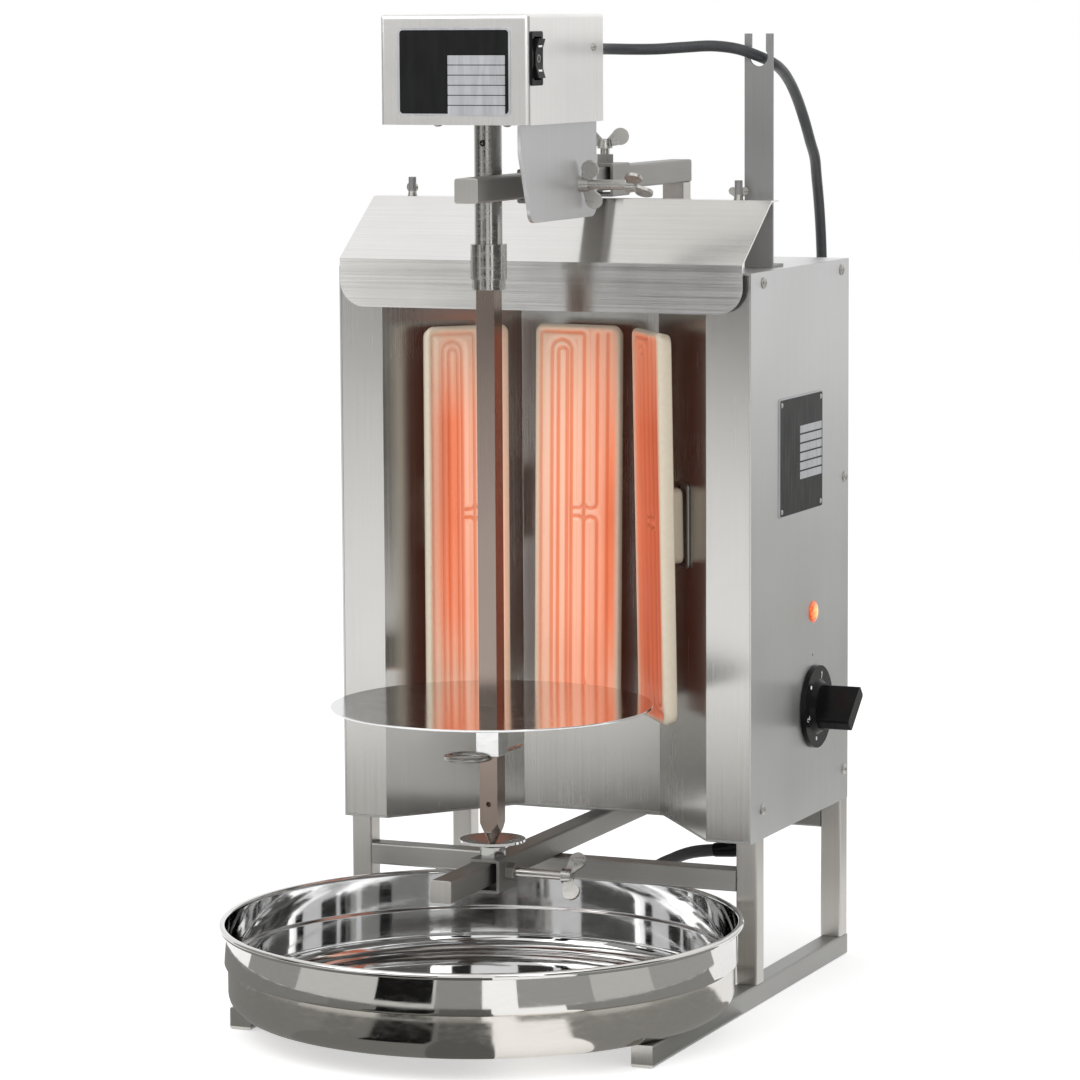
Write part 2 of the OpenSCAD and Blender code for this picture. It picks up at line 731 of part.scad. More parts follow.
module mains_plug() color("black") placed() translate(plug_at) rotate([90, 0, 0]) {
    cylinder(h = 22, d1 = 10, d2 = 16);
    translate([0, 0, 22]) cylinder(h = 8, d1 = 22, d2 = 34);
    translate([0, 0, 30]) cylinder(h = 14, d = 37);
    for (x = [-9.5, 9.5]) translate([x, 0, 44]) cylinder(h = 19, d = 4.8);
}

// Motor lead

module lead_gland() color("black") placed()
    translate([lead_end.x, housing_d, lead_end.z]) rotate([-90, 0, 0]) {
    linear_extrude(5) hexagon(17);
    translate([0, 0, 5]) cylinder(h = lead_gland_l - 5, d1 = 15, d2 = 11);
}

module motor_lead() color("black") placed() sweep(lead_route, lead_d, 8);

module box_gland() color("black") placed() translate([lead_route[0].x, box_y1, lead_route[0].z])
    rotate([-90, 0, 0]) cylinder(h = lead_route[0].y - box_y1, d1 = 13, d2 = 9);

// Motor head

module soft_box(w, d, h, r) intersection() {
    linear_extrude(h) rounded_rect(w, d, r);
    translate([0, d / 2, h / 2 - r]) rotate([90, 0, 0]) linear_extrude(d) rounded_rect(w, h + 2 * r, r);
    translate([-w / 2, 0, h / 2 - r]) rotate([90, 0, 90]) linear_extrude(w) rounded_rect(d, h + 2 * r, r);
}

module motor_cover() color("lightgray") placed()
    translate(box_mid) difference() {
        soft_box(box_w, box_d, box_h, 3);
        box_screw_places() screw_hole();
        translate([0, 0, -1]) linear_extrude(box_h + 1 - box_wall)
            rounded_rect(box_w - 2 * box_wall, box_d - 2 * box_wall, 2);
        translate([box_w / 2, -box_d / 2 + 9.25, 39.65]) cube([10, 12.6, 27.6], center = true);
        translate([lead_route[0].x - (box_x0 + box_x1) / 2, box_d / 2, lead_route[0].z - box_z0])
            rotate([90, 0, 0]) cylinder(h = 10, d = lead_d + 1, center = true);
    }

// The cover's side screws, from the middle of the box
module box_screw_places() for (m = [0, 1]) mirror([m, 0, 0])
    translate([box_w / 2, box_d / 2 - box_screw_in, box_screw_rise]) rotate([0, 90, 0]) children();

// The gearbox's four feet, from the spit
module gear_feet() for (x = [-1, 1], y = [-1, 1]) translate([x, y, 0] * (gear_side / 2 - 7)) children();

module motor_base() color("silver") placed() difference() {
    translate(box_mid) {
        linear_extrude(2) rounded_rect(box_w - 2 * box_wall - play, box_d - 2 * box_wall - play, 2);
        difference() {
            for (m = [0, 1]) mirror([m, 0, 0])
                translate([box_w / 2 - 2 * box_wall - play / 2, box_d / 2 - 34, 0])
                    cube([box_wall, 26, box_screw_rise + 8]);
            box_screw_places() screw_hole();
        }
    }
    translate([spit_x, spit_y, box_z0 - 1]) cylinder(h = 5, d = drive_d + 2);
    translate([spit_x, spit_y, box_z0]) gear_feet() screw_hole();
}

module cheek_plate() color("silver") placed() difference() {
    translate([cheek_x1 - cheek_t, 0, 0]) rotate([90, 0, 90]) linear_extrude(cheek_t) {
        z1 = box_z0;
        polygon([
            [box_y0, z1], [box_y0, z1 - 17], [box_y0 + 13, z1 - cheek_drop + 8],
            [box_y0 + 21, z1 - cheek_drop],
            [box_y1 - 8, z1 - cheek_drop], [box_y1, z1 - cheek_drop + 8], [box_y1, z1]]);
        translate([box_y0 + 21, z1 - cheek_drop + 8]) circle(8);
        translate([box_y1 - 8, z1 - cheek_drop + 8]) circle(8);
    }
    translate([cheek_x1, clamp_y, clamp_z]) rotate([0, 90, 0])
        cylinder(h = 20, d = screw_d + 1, center = true);
}

module gear_motor() color("dimgray") placed() translate([spit_x, spit_y, box_z0 + 12]) difference() {
    union() {
        translate([0, 0, gear_h / 2]) cube([gear_side, gear_side, gear_h], center = true);
        translate([0, 0, gear_h]) cylinder(h = motor_h, d = motor_d);
        gear_feet() translate([0, 0, -10]) cylinder(h = 10, d = 7);
    }
    translate([0, 0, -1]) cylinder(h = 20, d = 8.2);
    translate([0, 0, -10]) gear_feet() screw_hole();
}

module motor_screws() color("gainsboro") placed() {
    translate(box_mid) box_screw_places() screw_head(box_screw_r);
    translate([spit_x, spit_y, box_z0]) gear_feet() rotate([180, 0, 0]) screw_head(box_screw_r);
}

module rocker_frame() color("black") placed()
    translate([box_x1, box_y0 + 9.25, box_z0 + 39.65]) rotate([90, 0, 90]) difference() {
        union() {
            linear_extrude(1.6) rounded_rect(16.5, 32.3, 1.5);
            translate([0, 0, -16]) linear_extrude(16) square([12.2, 27.2], center = true);
        }
        translate([0, 0, -7]) linear_extrude(12) square([10.6, 25.6], center = true);
        rotate([0, 90, 0]) cylinder(h = 12, d = rocker_pin_d + play, center = true);
    }

module rocker() color("black") placed()
    translate([box_x1, box_y0 + 9.25, box_z0 + 39.65]) rotate([90, 0, 0]) {
    cylinder(h = 11.4, d = rocker_pin_d, center = true);
    linear_extrude(10, center = true)
        polygon([
            [-3.5, -9.5], [2.5, -11.9], [4.6, -11.6], [2.4, -4], [2.4, 4], [4.6, 11.6], [2.5, 11.9],
            [-3.5, 9.5]]);
}

module carriage_sleeve() color("silver") placed() difference() {
    union() {
        translate([head_x0, clamp_y - sleeve_l / 2, head_z0]) sleeve_ring();
        translate([head_x0 + sleeve_out, clamp_y, clamp_z]) rotate([0, 90, 0])
            linear_extrude(cheek_x1 - cheek_t - head_x0 - sleeve_out) hexagon(nut_af + 4);
    }
    translate([head_x0 + sleeve_out / 2, clamp_y, clamp_z]) rotate([0, 90, 0])
        cylinder(h = cheek_x1, d = screw_d + 0.1);
}

module carriage_screw() color("gainsboro") placed()
    translate([post_x + post / 2 + 0.1, clamp_y, clamp_z]) rotate([0, 90, 0]) rotate(62)
        wing_screw(cheek_x1 + clamp_out - post_x - post / 2);

module lock_nut() color("gainsboro") placed()
    translate([cheek_x1, clamp_y, clamp_z]) rotate([0, 90, 0]) rotate(16) wing_nut(screw_d + 0.1);

// Stop on the top arm

module stop_sleeve() color("silver") placed() difference() {
    union() {
        translate([head_x0, stop_y - sleeve_l / 2, head_z0]) sleeve_ring();
        translate([post_x, stop_y, head_z0 + sleeve_out]) linear_extrude(nut_h) hexagon(nut_af);
    }
    translate([post_x, stop_y, head_z0 + sleeve_out / 2]) cylinder(h = 30, d = screw_d + 0.1);
}

module stop_bolt() color("gainsboro") placed()
    translate([post_x, stop_y, top_arm_z + post + 0.1]) rotate(20) wing_screw(nut_h + 5.7);

// Foot of the spit

module foot_sleeve() color("silver") placed() difference() {
    union() {
        translate([foot_x0, spit_y - sleeve_l / 2, foot_z0]) sleeve_ring();
        translate([foot_x0 + sleeve_out, spit_y, arm_z + tube / 2]) rotate([0, 90, 0])
            linear_extrude(nut_h) hexagon(nut_af);
    }
    translate([foot_x0 + sleeve_out / 2, spit_y, arm_z + tube / 2]) rotate([0, 90, 0])
        cylinder(h = 40, d = screw_d + 0.1);
}

module pivot_cup() color("gainsboro") placed() translate([spit_x, spit_y, 0]) {
    z0 = foot_z0 + sleeve_out;
    translate([0, 0, z0]) linear_extrude(nut_h + 1) hexagon(nut_af + 5);
    difference() {
        rotate_extrude() polygon([
            [0, z0 + nut_h + 1], [9, z0 + nut_h + 1], [cup_d / 2, cup_z - 1.6], [cup_d / 2, cup_z],
            [0, cup_z]]);
        translate([0, 0, cup_z - cup_depth]) cylinder(h = cup_depth + 0.01, d1 = 6, d2 = cup_d - 4);
    }
}

module foot_screw() color("gainsboro") placed()
    translate([arm_x + tube / 2 + 0.1, spit_y, arm_z + tube / 2]) rotate([0, 90, 0]) rotate(-31)
        wing_screw(42);

// Spit and drive

module drive_tube() color("silver") placed() translate([spit_x, spit_y, 0]) difference() {
    union() {
        translate([0, 0, collar_z1]) cylinder(h = drive_z1 - collar_z1, d = drive_d);
        translate([0, 0, collar_z0]) cylinder(h = collar_z1 - collar_z0, d = collar_d);
        translate([0, 0, socket_z0]) cylinder(h = collar_z0 - socket_z0, d = collar_d - 2.1);
    }
    translate([0, 0, socket_z0 - 1]) linear_extrude(turned_z0 + spit_lift + 1 - socket_z0 + 0.5)
        square(bar + 0.3, center = true);
    translate([0, 0, socket_z0])
        cylinder(h = turned_z0 + turned_l + spit_lift + 1 - socket_z0, d = bar + 0.6);
    translate([0, 0, drive_z1 - 26]) cylinder(h = 30, d = 8.1);
    translate([0, 0, box_z0 - 12.2]) rotate([90, 0, 0]) cylinder(h = 30, d = 4, center = true);
}

module output_shaft() color("gray") placed() translate([spit_x, spit_y, drive_z1 - 20])
    cylinder(h = 36, d = 8);

module spit() color("silver") placed() translate([spit_x, spit_y, 0]) difference() {
    union() {
        translate([0, 0, tip_z + point_l]) linear_extrude(turned_z0 - tip_z - point_l)
            square(bar, center = true);
        intersection() {
            translate([0, 0, tip_z]) linear_extrude(point_l) square(bar, center = true);
            translate([0, 0, tip_z]) cylinder(h = point_l + 0.01, d1 = 4, d2 = bar * 1.42);
        }
        translate([0, 0, turned_z0]) cylinder(h = turned_l, d = bar);
    }
    for (z = [pin_z, pin_z - 29]) translate([0, 0, z]) rotate([90, 0, 0])
        cylinder(h = 40, d = 2 * pin_r + 0.3, center = true);
}

module meat_disc() color("gainsboro") placed() translate([spit_x, spit_y, 0]) difference() {
    union() {
        translate([0, 0, disc_z]) cylinder(h = disc_t, d = disc_d, $fn = 96);
        translate([0, 0, disc_z - hub_l]) linear_extrude(hub_l) square(hub_side, center = true);
    }
    translate([0, 0, disc_z - hub_l - 1]) linear_extrude(hub_l + 10) square(bar + 2 * play, center = true);
}

module ring_pin() color("gainsboro") placed() translate([spit_x, spit_y, pin_z]) {
    front = -bar / 2 - 1;
    translate([0, 44, 0]) rotate([90, 0, 0]) cylinder(h = 44 - front, r = pin_r);
    translate([-ring_r, front, 0]) mirror([0, 1, 0]) rotate_extrude(angle = 290)
        translate([ring_r, 0]) circle(pin_r);
}

// Drip pan

module drip_pan() color("gainsboro") placed() translate([pan_x, pan_y, pan_z]) {
    r = pan_wall_r;
    rotate_extrude($fn = 128) {
        square([r - pan_step - pan_corner, pan_t]);
        translate([r - pan_step - pan_corner, pan_corner]) intersection() {
            difference() {
                circle(pan_corner);
                circle(pan_corner - pan_t);
            }
            translate([0, -pan_corner]) square(pan_corner);
        }
        translate([r - pan_step - pan_t, pan_corner]) square([pan_t, pan_h / 2 - pan_corner]);
        polygon([
            [r - pan_step - pan_t, pan_h / 2], [r - pan_step, pan_h / 2], [r, pan_h / 2 + 3],
            [r, pan_h - roll_r], [r - pan_t, pan_h - roll_r], [r - pan_t, pan_h / 2 + 3]]);
        translate([r + roll_r - pan_t / 2, pan_h - roll_r]) difference() {
            circle(roll_r + pan_t / 2);
            circle(roll_r - pan_t / 2);
            translate([-roll_r * 2, -roll_r * 2]) square([roll_r * 2, roll_r * 2]);
        }
    }
}

left_rail();
right_rail();
front_legs();
rear_legs();
front_crossbar();
rear_crossbar();
lower_arm();
rear_post();
top_arm();
tube_plugs();
bottom_plate();
reflector();
left_side_panel();
right_side_panel();
back_panel();
top_cover();
panel_screws();
hood();
hood_bracket();
cable_fork();
left_heater();
middle_heater();
right_heater();
heater_holders();
energy_regulator();
indicator_lamp();
terminal_block();
mains_gland();
mains_cord();
mains_coil();
mains_cord_end();
mains_plug();
lead_gland();
motor_lead();
motor_cover();
motor_base();
cheek_plate();
gear_motor();
motor_screws();
rocker_frame();
carriage_sleeve();
box_gland();
rocker();
carriage_screw();
lock_nut();
stop_sleeve();
stop_bolt();
foot_sleeve();
pivot_cup();
foot_screw();
drive_tube();
output_shaft();
spit();
meat_disc();
ring_pin();
knob();
drip_pan();
left_hood_nut();
right_hood_nut();
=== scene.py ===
import json
import math

import bmesh
import bpy
from mathutils import Matrix, Vector

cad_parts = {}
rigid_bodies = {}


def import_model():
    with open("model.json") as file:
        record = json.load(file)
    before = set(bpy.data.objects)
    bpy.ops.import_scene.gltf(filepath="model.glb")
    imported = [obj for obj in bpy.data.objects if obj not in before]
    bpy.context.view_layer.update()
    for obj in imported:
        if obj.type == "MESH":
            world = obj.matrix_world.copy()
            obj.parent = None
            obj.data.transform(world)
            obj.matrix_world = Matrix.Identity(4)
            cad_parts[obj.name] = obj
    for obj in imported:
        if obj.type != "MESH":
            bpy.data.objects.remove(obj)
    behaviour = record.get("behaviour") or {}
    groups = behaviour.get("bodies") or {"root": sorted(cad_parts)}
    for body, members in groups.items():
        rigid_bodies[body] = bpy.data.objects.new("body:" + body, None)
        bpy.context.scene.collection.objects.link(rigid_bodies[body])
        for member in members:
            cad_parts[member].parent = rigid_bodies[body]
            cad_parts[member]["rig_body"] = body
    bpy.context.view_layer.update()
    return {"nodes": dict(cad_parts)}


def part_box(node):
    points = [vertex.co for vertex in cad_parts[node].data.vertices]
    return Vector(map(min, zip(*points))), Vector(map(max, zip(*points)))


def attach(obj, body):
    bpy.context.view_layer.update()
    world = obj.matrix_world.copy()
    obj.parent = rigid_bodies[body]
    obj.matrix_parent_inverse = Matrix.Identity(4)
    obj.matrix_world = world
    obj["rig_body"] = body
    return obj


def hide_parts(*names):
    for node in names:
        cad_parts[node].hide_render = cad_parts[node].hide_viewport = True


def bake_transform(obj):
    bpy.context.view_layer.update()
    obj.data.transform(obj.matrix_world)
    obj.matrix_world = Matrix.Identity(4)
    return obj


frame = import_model()
nodes = frame["nodes"]
scene = bpy.context.scene
scene.view_settings.view_transform = "Standard"

# Places that the pieces share, in metres
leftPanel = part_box("left_side_panel")
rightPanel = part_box("right_side_panel")
panelMid = (leftPanel[0].x + rightPanel[1].x) / 2
panelFront = rightPanel[0].y


# Millimetres from the housing's middle, its front and the table
def housing(x, y, z):
    return Vector((panelMid + x / 1000, panelFront + y / 1000, z / 1000))


def midOf(node):
    low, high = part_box(node)
    return (low + high) / 2


# Camera

cameraPlace = dict(at=(1095.80, -2558.88, 626.34), turn=23.2157, down=6.8382, roll=-0.316, lens=147.341)


def placeCamera(place):
    turn = math.radians(place["turn"])
    down = math.radians(place["down"])
    roll = math.radians(place["roll"])
    ahead = Vector((-math.sin(turn) * math.cos(down), math.cos(turn) * math.cos(down), -math.sin(down)))
    side = Vector((math.cos(turn), math.sin(turn), 0))
    above = side.cross(ahead)
    right = side * math.cos(roll) + above * math.sin(roll)
    top = above * math.cos(roll) - side * math.sin(roll)
    data = bpy.data.cameras.new("camera")
    data.lens = place["lens"]
    data.sensor_width = 36
    data.clip_end = 50
    camera = bpy.data.objects.new("camera", data)
    scene.collection.objects.link(camera)
    turned = Matrix((right, top, -ahead)).transposed().to_4x4()
    camera.matrix_world = Matrix.Translation(housing(*place["at"])) @ turned
    scene.camera = camera


placeCamera(cameraPlace)
print("camera placed")


# Materials

def setInputs(node, **values):
    for key, value in values.items():
        node.inputs[key.replace("_", " ")].default_value = value


# Links other nodes' outputs to a node's inputs by name
def feed(node, **sources):
    for key, source in sources.items():
        node.id_data.links.new(source, node.inputs[key.replace("_", " ")])


def startMaterial(name, **values):
    material = bpy.data.materials.new(name)
    material.use_nodes = True
    tree = material.node_tree
    shader = tree.nodes["Principled BSDF"]
    setInputs(shader, **values)
    return material, tree, shader


# A new node with its settings and its inputs' values, both by name
def addNode(tree, kind, **values):
    node = tree.nodes.new(kind)
    for key, value in values.items():
        if hasattr(node, key):
            setattr(node, key, value)
        else:
            setInputs(node, **{key: value})
    return node


def objectSpace(tree, scale=(1, 1, 1), shift=(0, 0, 0)):
    place = tree.nodes.new("ShaderNodeTexCoord")
    mapping = addNode(tree, "ShaderNodeMapping", Scale=scale, Location=shift)
    tree.links.new(place.outputs["Object"], mapping.inputs["Vector"])
    return mapping.outputs["Vector"]


def noiseAt(tree, scale, detail, roughness, stretch=(1, 1, 1)):
    made = addNode(tree, "ShaderNodeTexNoise", Scale=scale, Detail=detail, Roughness=roughness)
    tree.links.new(objectSpace(tree, stretch), made.inputs["Vector"])
    return made.outputs["Fac"]


def span(tree, value, low, high, fromLow=0.3, fromHigh=0.7):
    made = addNode(tree, "ShaderNodeMapRange", From_Min=fromLow, From_Max=fromHigh, To_Min=low, To_Max=high)
    tree.links.new(value, made.inputs["Value"])
    return made.outputs["Result"]


def maths(tree, how, one, two):
    made = addNode(tree, "ShaderNodeMath", operation=how)
    for place, value in enumerate((one, two)):
        if isinstance(value, (int, float)):
            made.inputs[place].default_value = value
        else:
            tree.links.new(value, made.inputs[place])
    return made.outputs["Value"]


def tint(tree, value, dark, light):
    made = addNode(tree, "ShaderNodeMix", data_type="RGBA")
    for socket, colour in (("A", dark), ("B", light)):
        if isinstance(colour, tuple):
            made.inputs[socket].default_value = (*colour, 1)
        else:
            tree.links.new(colour, made.inputs[socket])
    tree.links.new(value, made.inputs["Factor"])
    return made.outputs["Result"]


def bump(tree, shader, height, strength, distance):
    made = addNode(tree, "ShaderNodeBump", Strength=strength, Distance=distance)
    tree.links.new(height, made.inputs["Height"])
    feed(shader, Normal=made.outputs["Normal"])


def paled(colour, share):
    return tuple(min(1, c * share) for c in colour)


grainAlong = dict(x=(5, 900, 900), y=(900, 5, 900), z=(900, 900, 5))
grainAxis = dict(x=(1, 0, 0), y=(0, 1, 0), z=(0, 0, 1))


# Fine scratches stretch the gloss across their grain
def stretchGloss(tree, shader, grain, share):
    face = tree.nodes.new("ShaderNodeNewGeometry")
    across = addNode(tree, "ShaderNodeVectorMath", operation="CROSS_PRODUCT")
    across.inputs[1].default_value = grainAxis[grain]
    tree.links.new(face.outputs["Normal"], across.inputs[0])
    feed(shader, Tangent=across.outputs["Vector"])
    setInputs(shader, Anisotropic=share)


# Stainless with a fine grain along one axis, soft clouds of wear and a slightly uneven gloss
def brushedSteel(name, colour, rough, grain, strength=0.25, spread=0.04, stretch=0.75):
    material, tree, shader = startMaterial(name, Metallic=1)
    fine = noiseAt(tree, 1, 2, 0.6, grainAlong[grain])
    finest = noiseAt(tree, 2.3, 2, 0.5, grainAlong[grain])
    cloud = noiseAt(tree, 14, 3, 0.55)
    streaks = span(tree, maths(tree, "ADD", fine, finest), 0, 1, 0.7, 1.3)
    worn = maths(tree, "ADD", maths(tree, "MULTIPLY", streaks, 0.6), span(tree, cloud, 0, 0.4))
    feed(shader, Base_Color=tint(tree, worn, paled(colour, 0.93), paled(colour, 1.06)))
    uneven = span(tree, cloud, rough - spread, rough + spread)
    gloss = maths(tree, "ADD", uneven, span(tree, fine, -0.02, 0.03))
    feed(shader, Roughness=gloss)
    stretchGloss(tree, shader, grain, stretch)
    bump(tree, shader, streaks, strength, 0.00004)
    return material


# Bright polish with faint waves from pressing and fine wiping marks
def polishedSteel(name, colour, rough, dents=0.05):
    material, tree, shader = startMaterial(name, Metallic=1)
    wave = noiseAt(tree, 22, 2, 0.4)
    wipe = noiseAt(tree, 130, 4, 0.6, (1, 1, 3))
    feed(shader, Base_Color=tint(tree, span(tree, wipe, 0, 1), paled(colour, 0.96), colour))
    feed(shader, Roughness=span(tree, wipe, rough * 0.6, rough * 1.5))
    bump(tree, shader, wave, dents, 0.002)
    return material


def mouldedPlastic(name, colour, rough, grit=700, gloss=0.5):
    material, tree, shader = startMaterial(name, Specular_IOR_Level=gloss)
    fine = noiseAt(tree, grit, 3, 0.6)
    cloud = noiseAt(tree, 40, 2, 0.5)
    worn = tuple(c * 1.35 + 0.004 for c in colour)
    feed(shader, Base_Color=tint(tree, span(tree, cloud, 0, 1), colour, worn))
    feed(shader, Roughness=span(tree, fine, rough - 0.05, rough + 0.08))
    bump(tree, shader, fine, 0.18, 0.0001)
    return material


def cableRubber(name):
    material, tree, shader = startMaterial(name)
    fine = noiseAt(tree, 500, 3, 0.6)
    dust = noiseAt(tree, 60, 3, 0.6)
    feed(shader, Base_Color=tint(tree, span(tree, dust, 0, 1), (0.024, 0.025, 0.028), (0.045, 0.047, 0.052)))
    feed(shader, Roughness=span(tree, dust, 0.32, 0.5))
    bump(tree, shader, fine, 0.1, 0.0001)
    return material


# Colours in a row from 0 to 1
def ramp(tree, value, stops):
    made = tree.nodes.new("ShaderNodeValToRGB")
    points = made.color_ramp.elements
    for i, (place, colour) in enumerate(stops):
        point = points[i] if i < 2 else points.new(place)
        point.position = place
        point.color = (*colour, 1)
    tree.links.new(value, made.inputs["Fac"])
    return made.outputs["Color"]


# Glazed ceramic that glows where its heating wire runs, with deeper embers: its crests are paler, a painted
# highlight, and its grooves redder and darker, painted shade
def bakedClay(name, look):
    material, tree, shader = startMaterial(name)
    groove = addNode(tree, "ShaderNodeAttribute", attribute_name="groove").outputs["Fac"]
    heat = addNode(tree, "ShaderNodeAttribute", attribute_name="warmth").outputs["Fac"]
    ember = addNode(tree, "ShaderNodeAttribute", attribute_name="ember").outputs["Fac"]
    speck = noiseAt(tree, 300, 4, 0.6)
    cloud = noiseAt(tree, 45, 3, 0.5, (1, 1, 0.25))
    cream = tint(tree, span(tree, speck, 0, 1), paled(look["glaze"], 0.94), look["glaze"])
    places = (0, 0.06, 0.24, 0.62, 1)
    kinds = ("flat", "crestHighlight", "crestHighlight", "groove", "groove")
    early = maths(tree, "MINIMUM", maths(tree, "MULTIPLY", ember, 2), 1)
    late = maths(tree, "MAXIMUM", maths(tree, "SUBTRACT", maths(tree, "MULTIPLY", ember, 2), 1), 0)

    # From pale through orange to deep red, each darkened in its grooves by painted shade, with the pale
    # crests a painted highlight
    def warmed(suffix):
        pale = ramp(tree, groove, [(p, look[kind + suffix]) for p, kind in zip(places, kinds)])
        orange = tint(tree, groove, look["orange" + suffix], paled(look["orange" + suffix], 0.7))
        deep = tint(tree, groove, look["deep" + suffix], paled(look["deep" + suffix], 0.6))
        return tint(tree, late, tint(tree, early, pale, orange), deep)

    feed(shader, Base_Color=tint(tree, heat, cream, warmed("")))
    feed(shader, Emission_Color=warmed("Glow"))
    feed(shader, Roughness=span(tree, cloud, 0.16, 0.26))
    even = span(tree, cloud, look["glow"] * 0.88, look["glow"] * 1.1)
    feed(shader, Emission_Strength=maths(tree, "MULTIPLY", heat, even))
    bump(tree, shader, speck, 0.05, 0.0002)
    return material


# Lit lens: bright in the middle, deep red at its rim, with fine facets
def glowingLens(name, middle, reach):
    material, tree, shader = startMaterial(name, Emission_Strength=0.85, Roughness=0.12, Coat_Weight=0.6)
    scale = 1 / reach
    place = objectSpace(tree, (0, scale, scale), (0, -middle.y * scale, -middle.z * scale))
    away = addNode(tree, "ShaderNodeVectorMath", operation="LENGTH")
    tree.links.new(place, away.inputs[0])
    facets = noiseAt(tree, 480, 2, 0.5)
    rim = span(tree, away.outputs["Value"], 0, 1, 0.1, 0.95)
    share = maths(tree, "ADD", rim, span(tree, facets, -0.2, 0.2))
    feed(shader, Base_Color=tint(tree, share, (1.0, 0.42, 0.1), (0.5, 0.05, 0.01)))
    feed(shader, Emission_Color=tint(tree, share, (1.0, 0.62, 0.25), (0.62, 0.08, 0.01)))
    return material


# Anodised or printed metal with a fine sheen
def printedPlate(name, colour, rough, metal=0.35, gloss=0.5):
    material, tree, shader = startMaterial(name, Specular_IOR_Level=gloss, Metallic=metal)
    fine = noiseAt(tree, 1, 2, 0.5, (300, 300, 40))
    light = tuple(c * 1.1 + 0.003 for c in colour)
    feed(shader, Base_Color=tint(tree, span(tree, fine, 0, 1), paled(colour, 0.85), light))
    feed(shader, Roughness=span(tree, fine, rough, rough + 0.12))
    return material


# The crests' colours are paler, a painted highlight along the ribs, and the grooves' colours darker, painted
# shade in the grooves
clayLook = dict(glaze=(0.84, 0.74, 0.58), flat=(0.66, 0.3, 0.19), crestHighlight=(0.74, 0.47, 0.35),
                groove=(0.6, 0.19, 0.1), orange=(0.66, 0.16, 0.065), deep=(0.42, 0.085, 0.033),
                flatGlow=(0.98, 0.43, 0.26), crestHighlightGlow=(1.0, 0.55, 0.38), grooveGlow=(0.9, 0.27, 0.13),
                orangeGlow=(0.98, 0.24, 0.1), deepGlow=(0.62, 0.115, 0.05), glow=0.47)

# Colour, roughness and grain, then the scratches' depth, the gloss's spread and its stretch where they differ
brushedLooks = dict(
    panel_steel=((0.6, 0.6, 0.6), 0.34, "z"),
    reflector_steel=((0.55, 0.54, 0.52), 0.24, "z", 0.05, 0.03),
    hood_steel=((0.76, 0.75, 0.735), 0.16, "x", 0.1, 0.02, 0.7),
    bottom_steel=((0.5, 0.5, 0.49), 0.36, "y"),
    cover_steel=((0.86, 0.85, 0.83), 0.36, "z", 0.5),
    top_steel=((0.74, 0.74, 0.74), 0.36, "y"),
    tube_up=((0.6, 0.58, 0.55), 0.36, "z"),
    # Crossing and backward tubes: the same steel as the upright tubes, darker for painted shade
    tube_across=((0.33, 0.325, 0.31), 0.38, "x"),
    tube_back=((0.33, 0.32, 0.305), 0.5, "y", 0.25, 0.04, 0.5),
    rail_steel=((0.34, 0.337, 0.325), 0.44, "y"),
    cheek_steel=((0.6, 0.6, 0.605), 0.42, "z", 0.08),
    # Fork and hood bracket, darker for painted shade
    fork_steel=((0.37, 0.37, 0.37), 0.5, "z", 0.08),
    # The spit: its brown tint is painted warm light from the heaters
    bar_steel=((0.29, 0.235, 0.205), 0.24, "z", 0.15),
    # Heater clips, dark for the painted shade of the wall round them
    holder_steel=((0.3, 0.285, 0.265), 0.4, "z"))

# Colour and roughness, then the depth of the waves
polishedLooks = dict(
    turned_steel=((0.4, 0.395, 0.375), 0.22, 0.01),
    fastener_steel=((0.47, 0.455, 0.43), 0.3),
    mirror_steel=((0.76, 0.76, 0.76), 0.05),
    disc_steel=((0.74, 0.74, 0.74), 0.11),
    pan_band=((0.7, 0.69, 0.67), 0.05, 0.03),
    pan_satin=((0.68, 0.65, 0.61), 0.12, 0.05))

# Colour and roughness, then the fineness of the grit and the gloss
plasticLooks = dict(
    black_plastic=((0.006, 0.006, 0.0065), 0.2, 700, 0.12),
    white_insulator=((0.72, 0.7, 0.64), 0.45),
    cast_body=((0.08, 0.085, 0.09), 0.5, 300),
    white_paint=((0.95, 0.95, 0.95), 0.4),
    # The heaters' backs, dark for painted shade
    clay_back=((0.05, 0.03, 0.02), 0.5, 300))

# Colour and roughness, then how metallic and how glossy
plateLooks = dict(
    plate_black=((0.005, 0.0052, 0.0056), 0.34, 0, 0.2),
    plate_silver=((0.5, 0.51, 0.53), 0.35))

lampReach = 0.007
finish = dict(baked_clay=bakedClay("baked_clay", clayLook), cable_rubber=cableRubber("cable_rubber"),
              lamp_lens=glowingLens("lamp_lens", midOf("indicator_lamp"), lampReach))
for make, looks in ((brushedSteel, brushedLooks), (polishedSteel, polishedLooks),
                    (mouldedPlastic, plasticLooks), (printedPlate, plateLooks)):
    for kind, look in looks.items():
        finish[kind] = make(kind, *look)

# Painted shade on the heaters' backs: dark, with a faint painted red glow
setInputs(finish["clay_back"].node_tree.nodes["Principled BSDF"], Emission_Color=(0.06, 0.011, 0.004, 1),
          Emission_Strength=1)
print("materials made")


# Mesh helpers

def newPiece(name, mesh, material=None, body=None):
    piece = bpy.data.objects.new(name, mesh)
    scene.collection.objects.link(piece)
    if material and not mesh.materials:
        mesh.materials.append(material)
    if body:
        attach(piece, body)
    return piece


# Closes a sketch into a mesh with its faces turned outwards
def meshFrom(work, name, *materials):
    bmesh.ops.recalc_face_normals(work, faces=work.faces)
    mesh = bpy.data.meshes.new(name)
    work.to_mesh(mesh)
    work.free()
    for material in materials:
        mesh.materials.append(material)
    return mesh


# A band of faces between two closed rings of points
def sew(work, one, two):
    band = []
    for i in range(len(one)):
        k = (i + 1) % len(one)
        band.append(work.faces.new((one[i], one[k], two[k], two[i])))
    return band


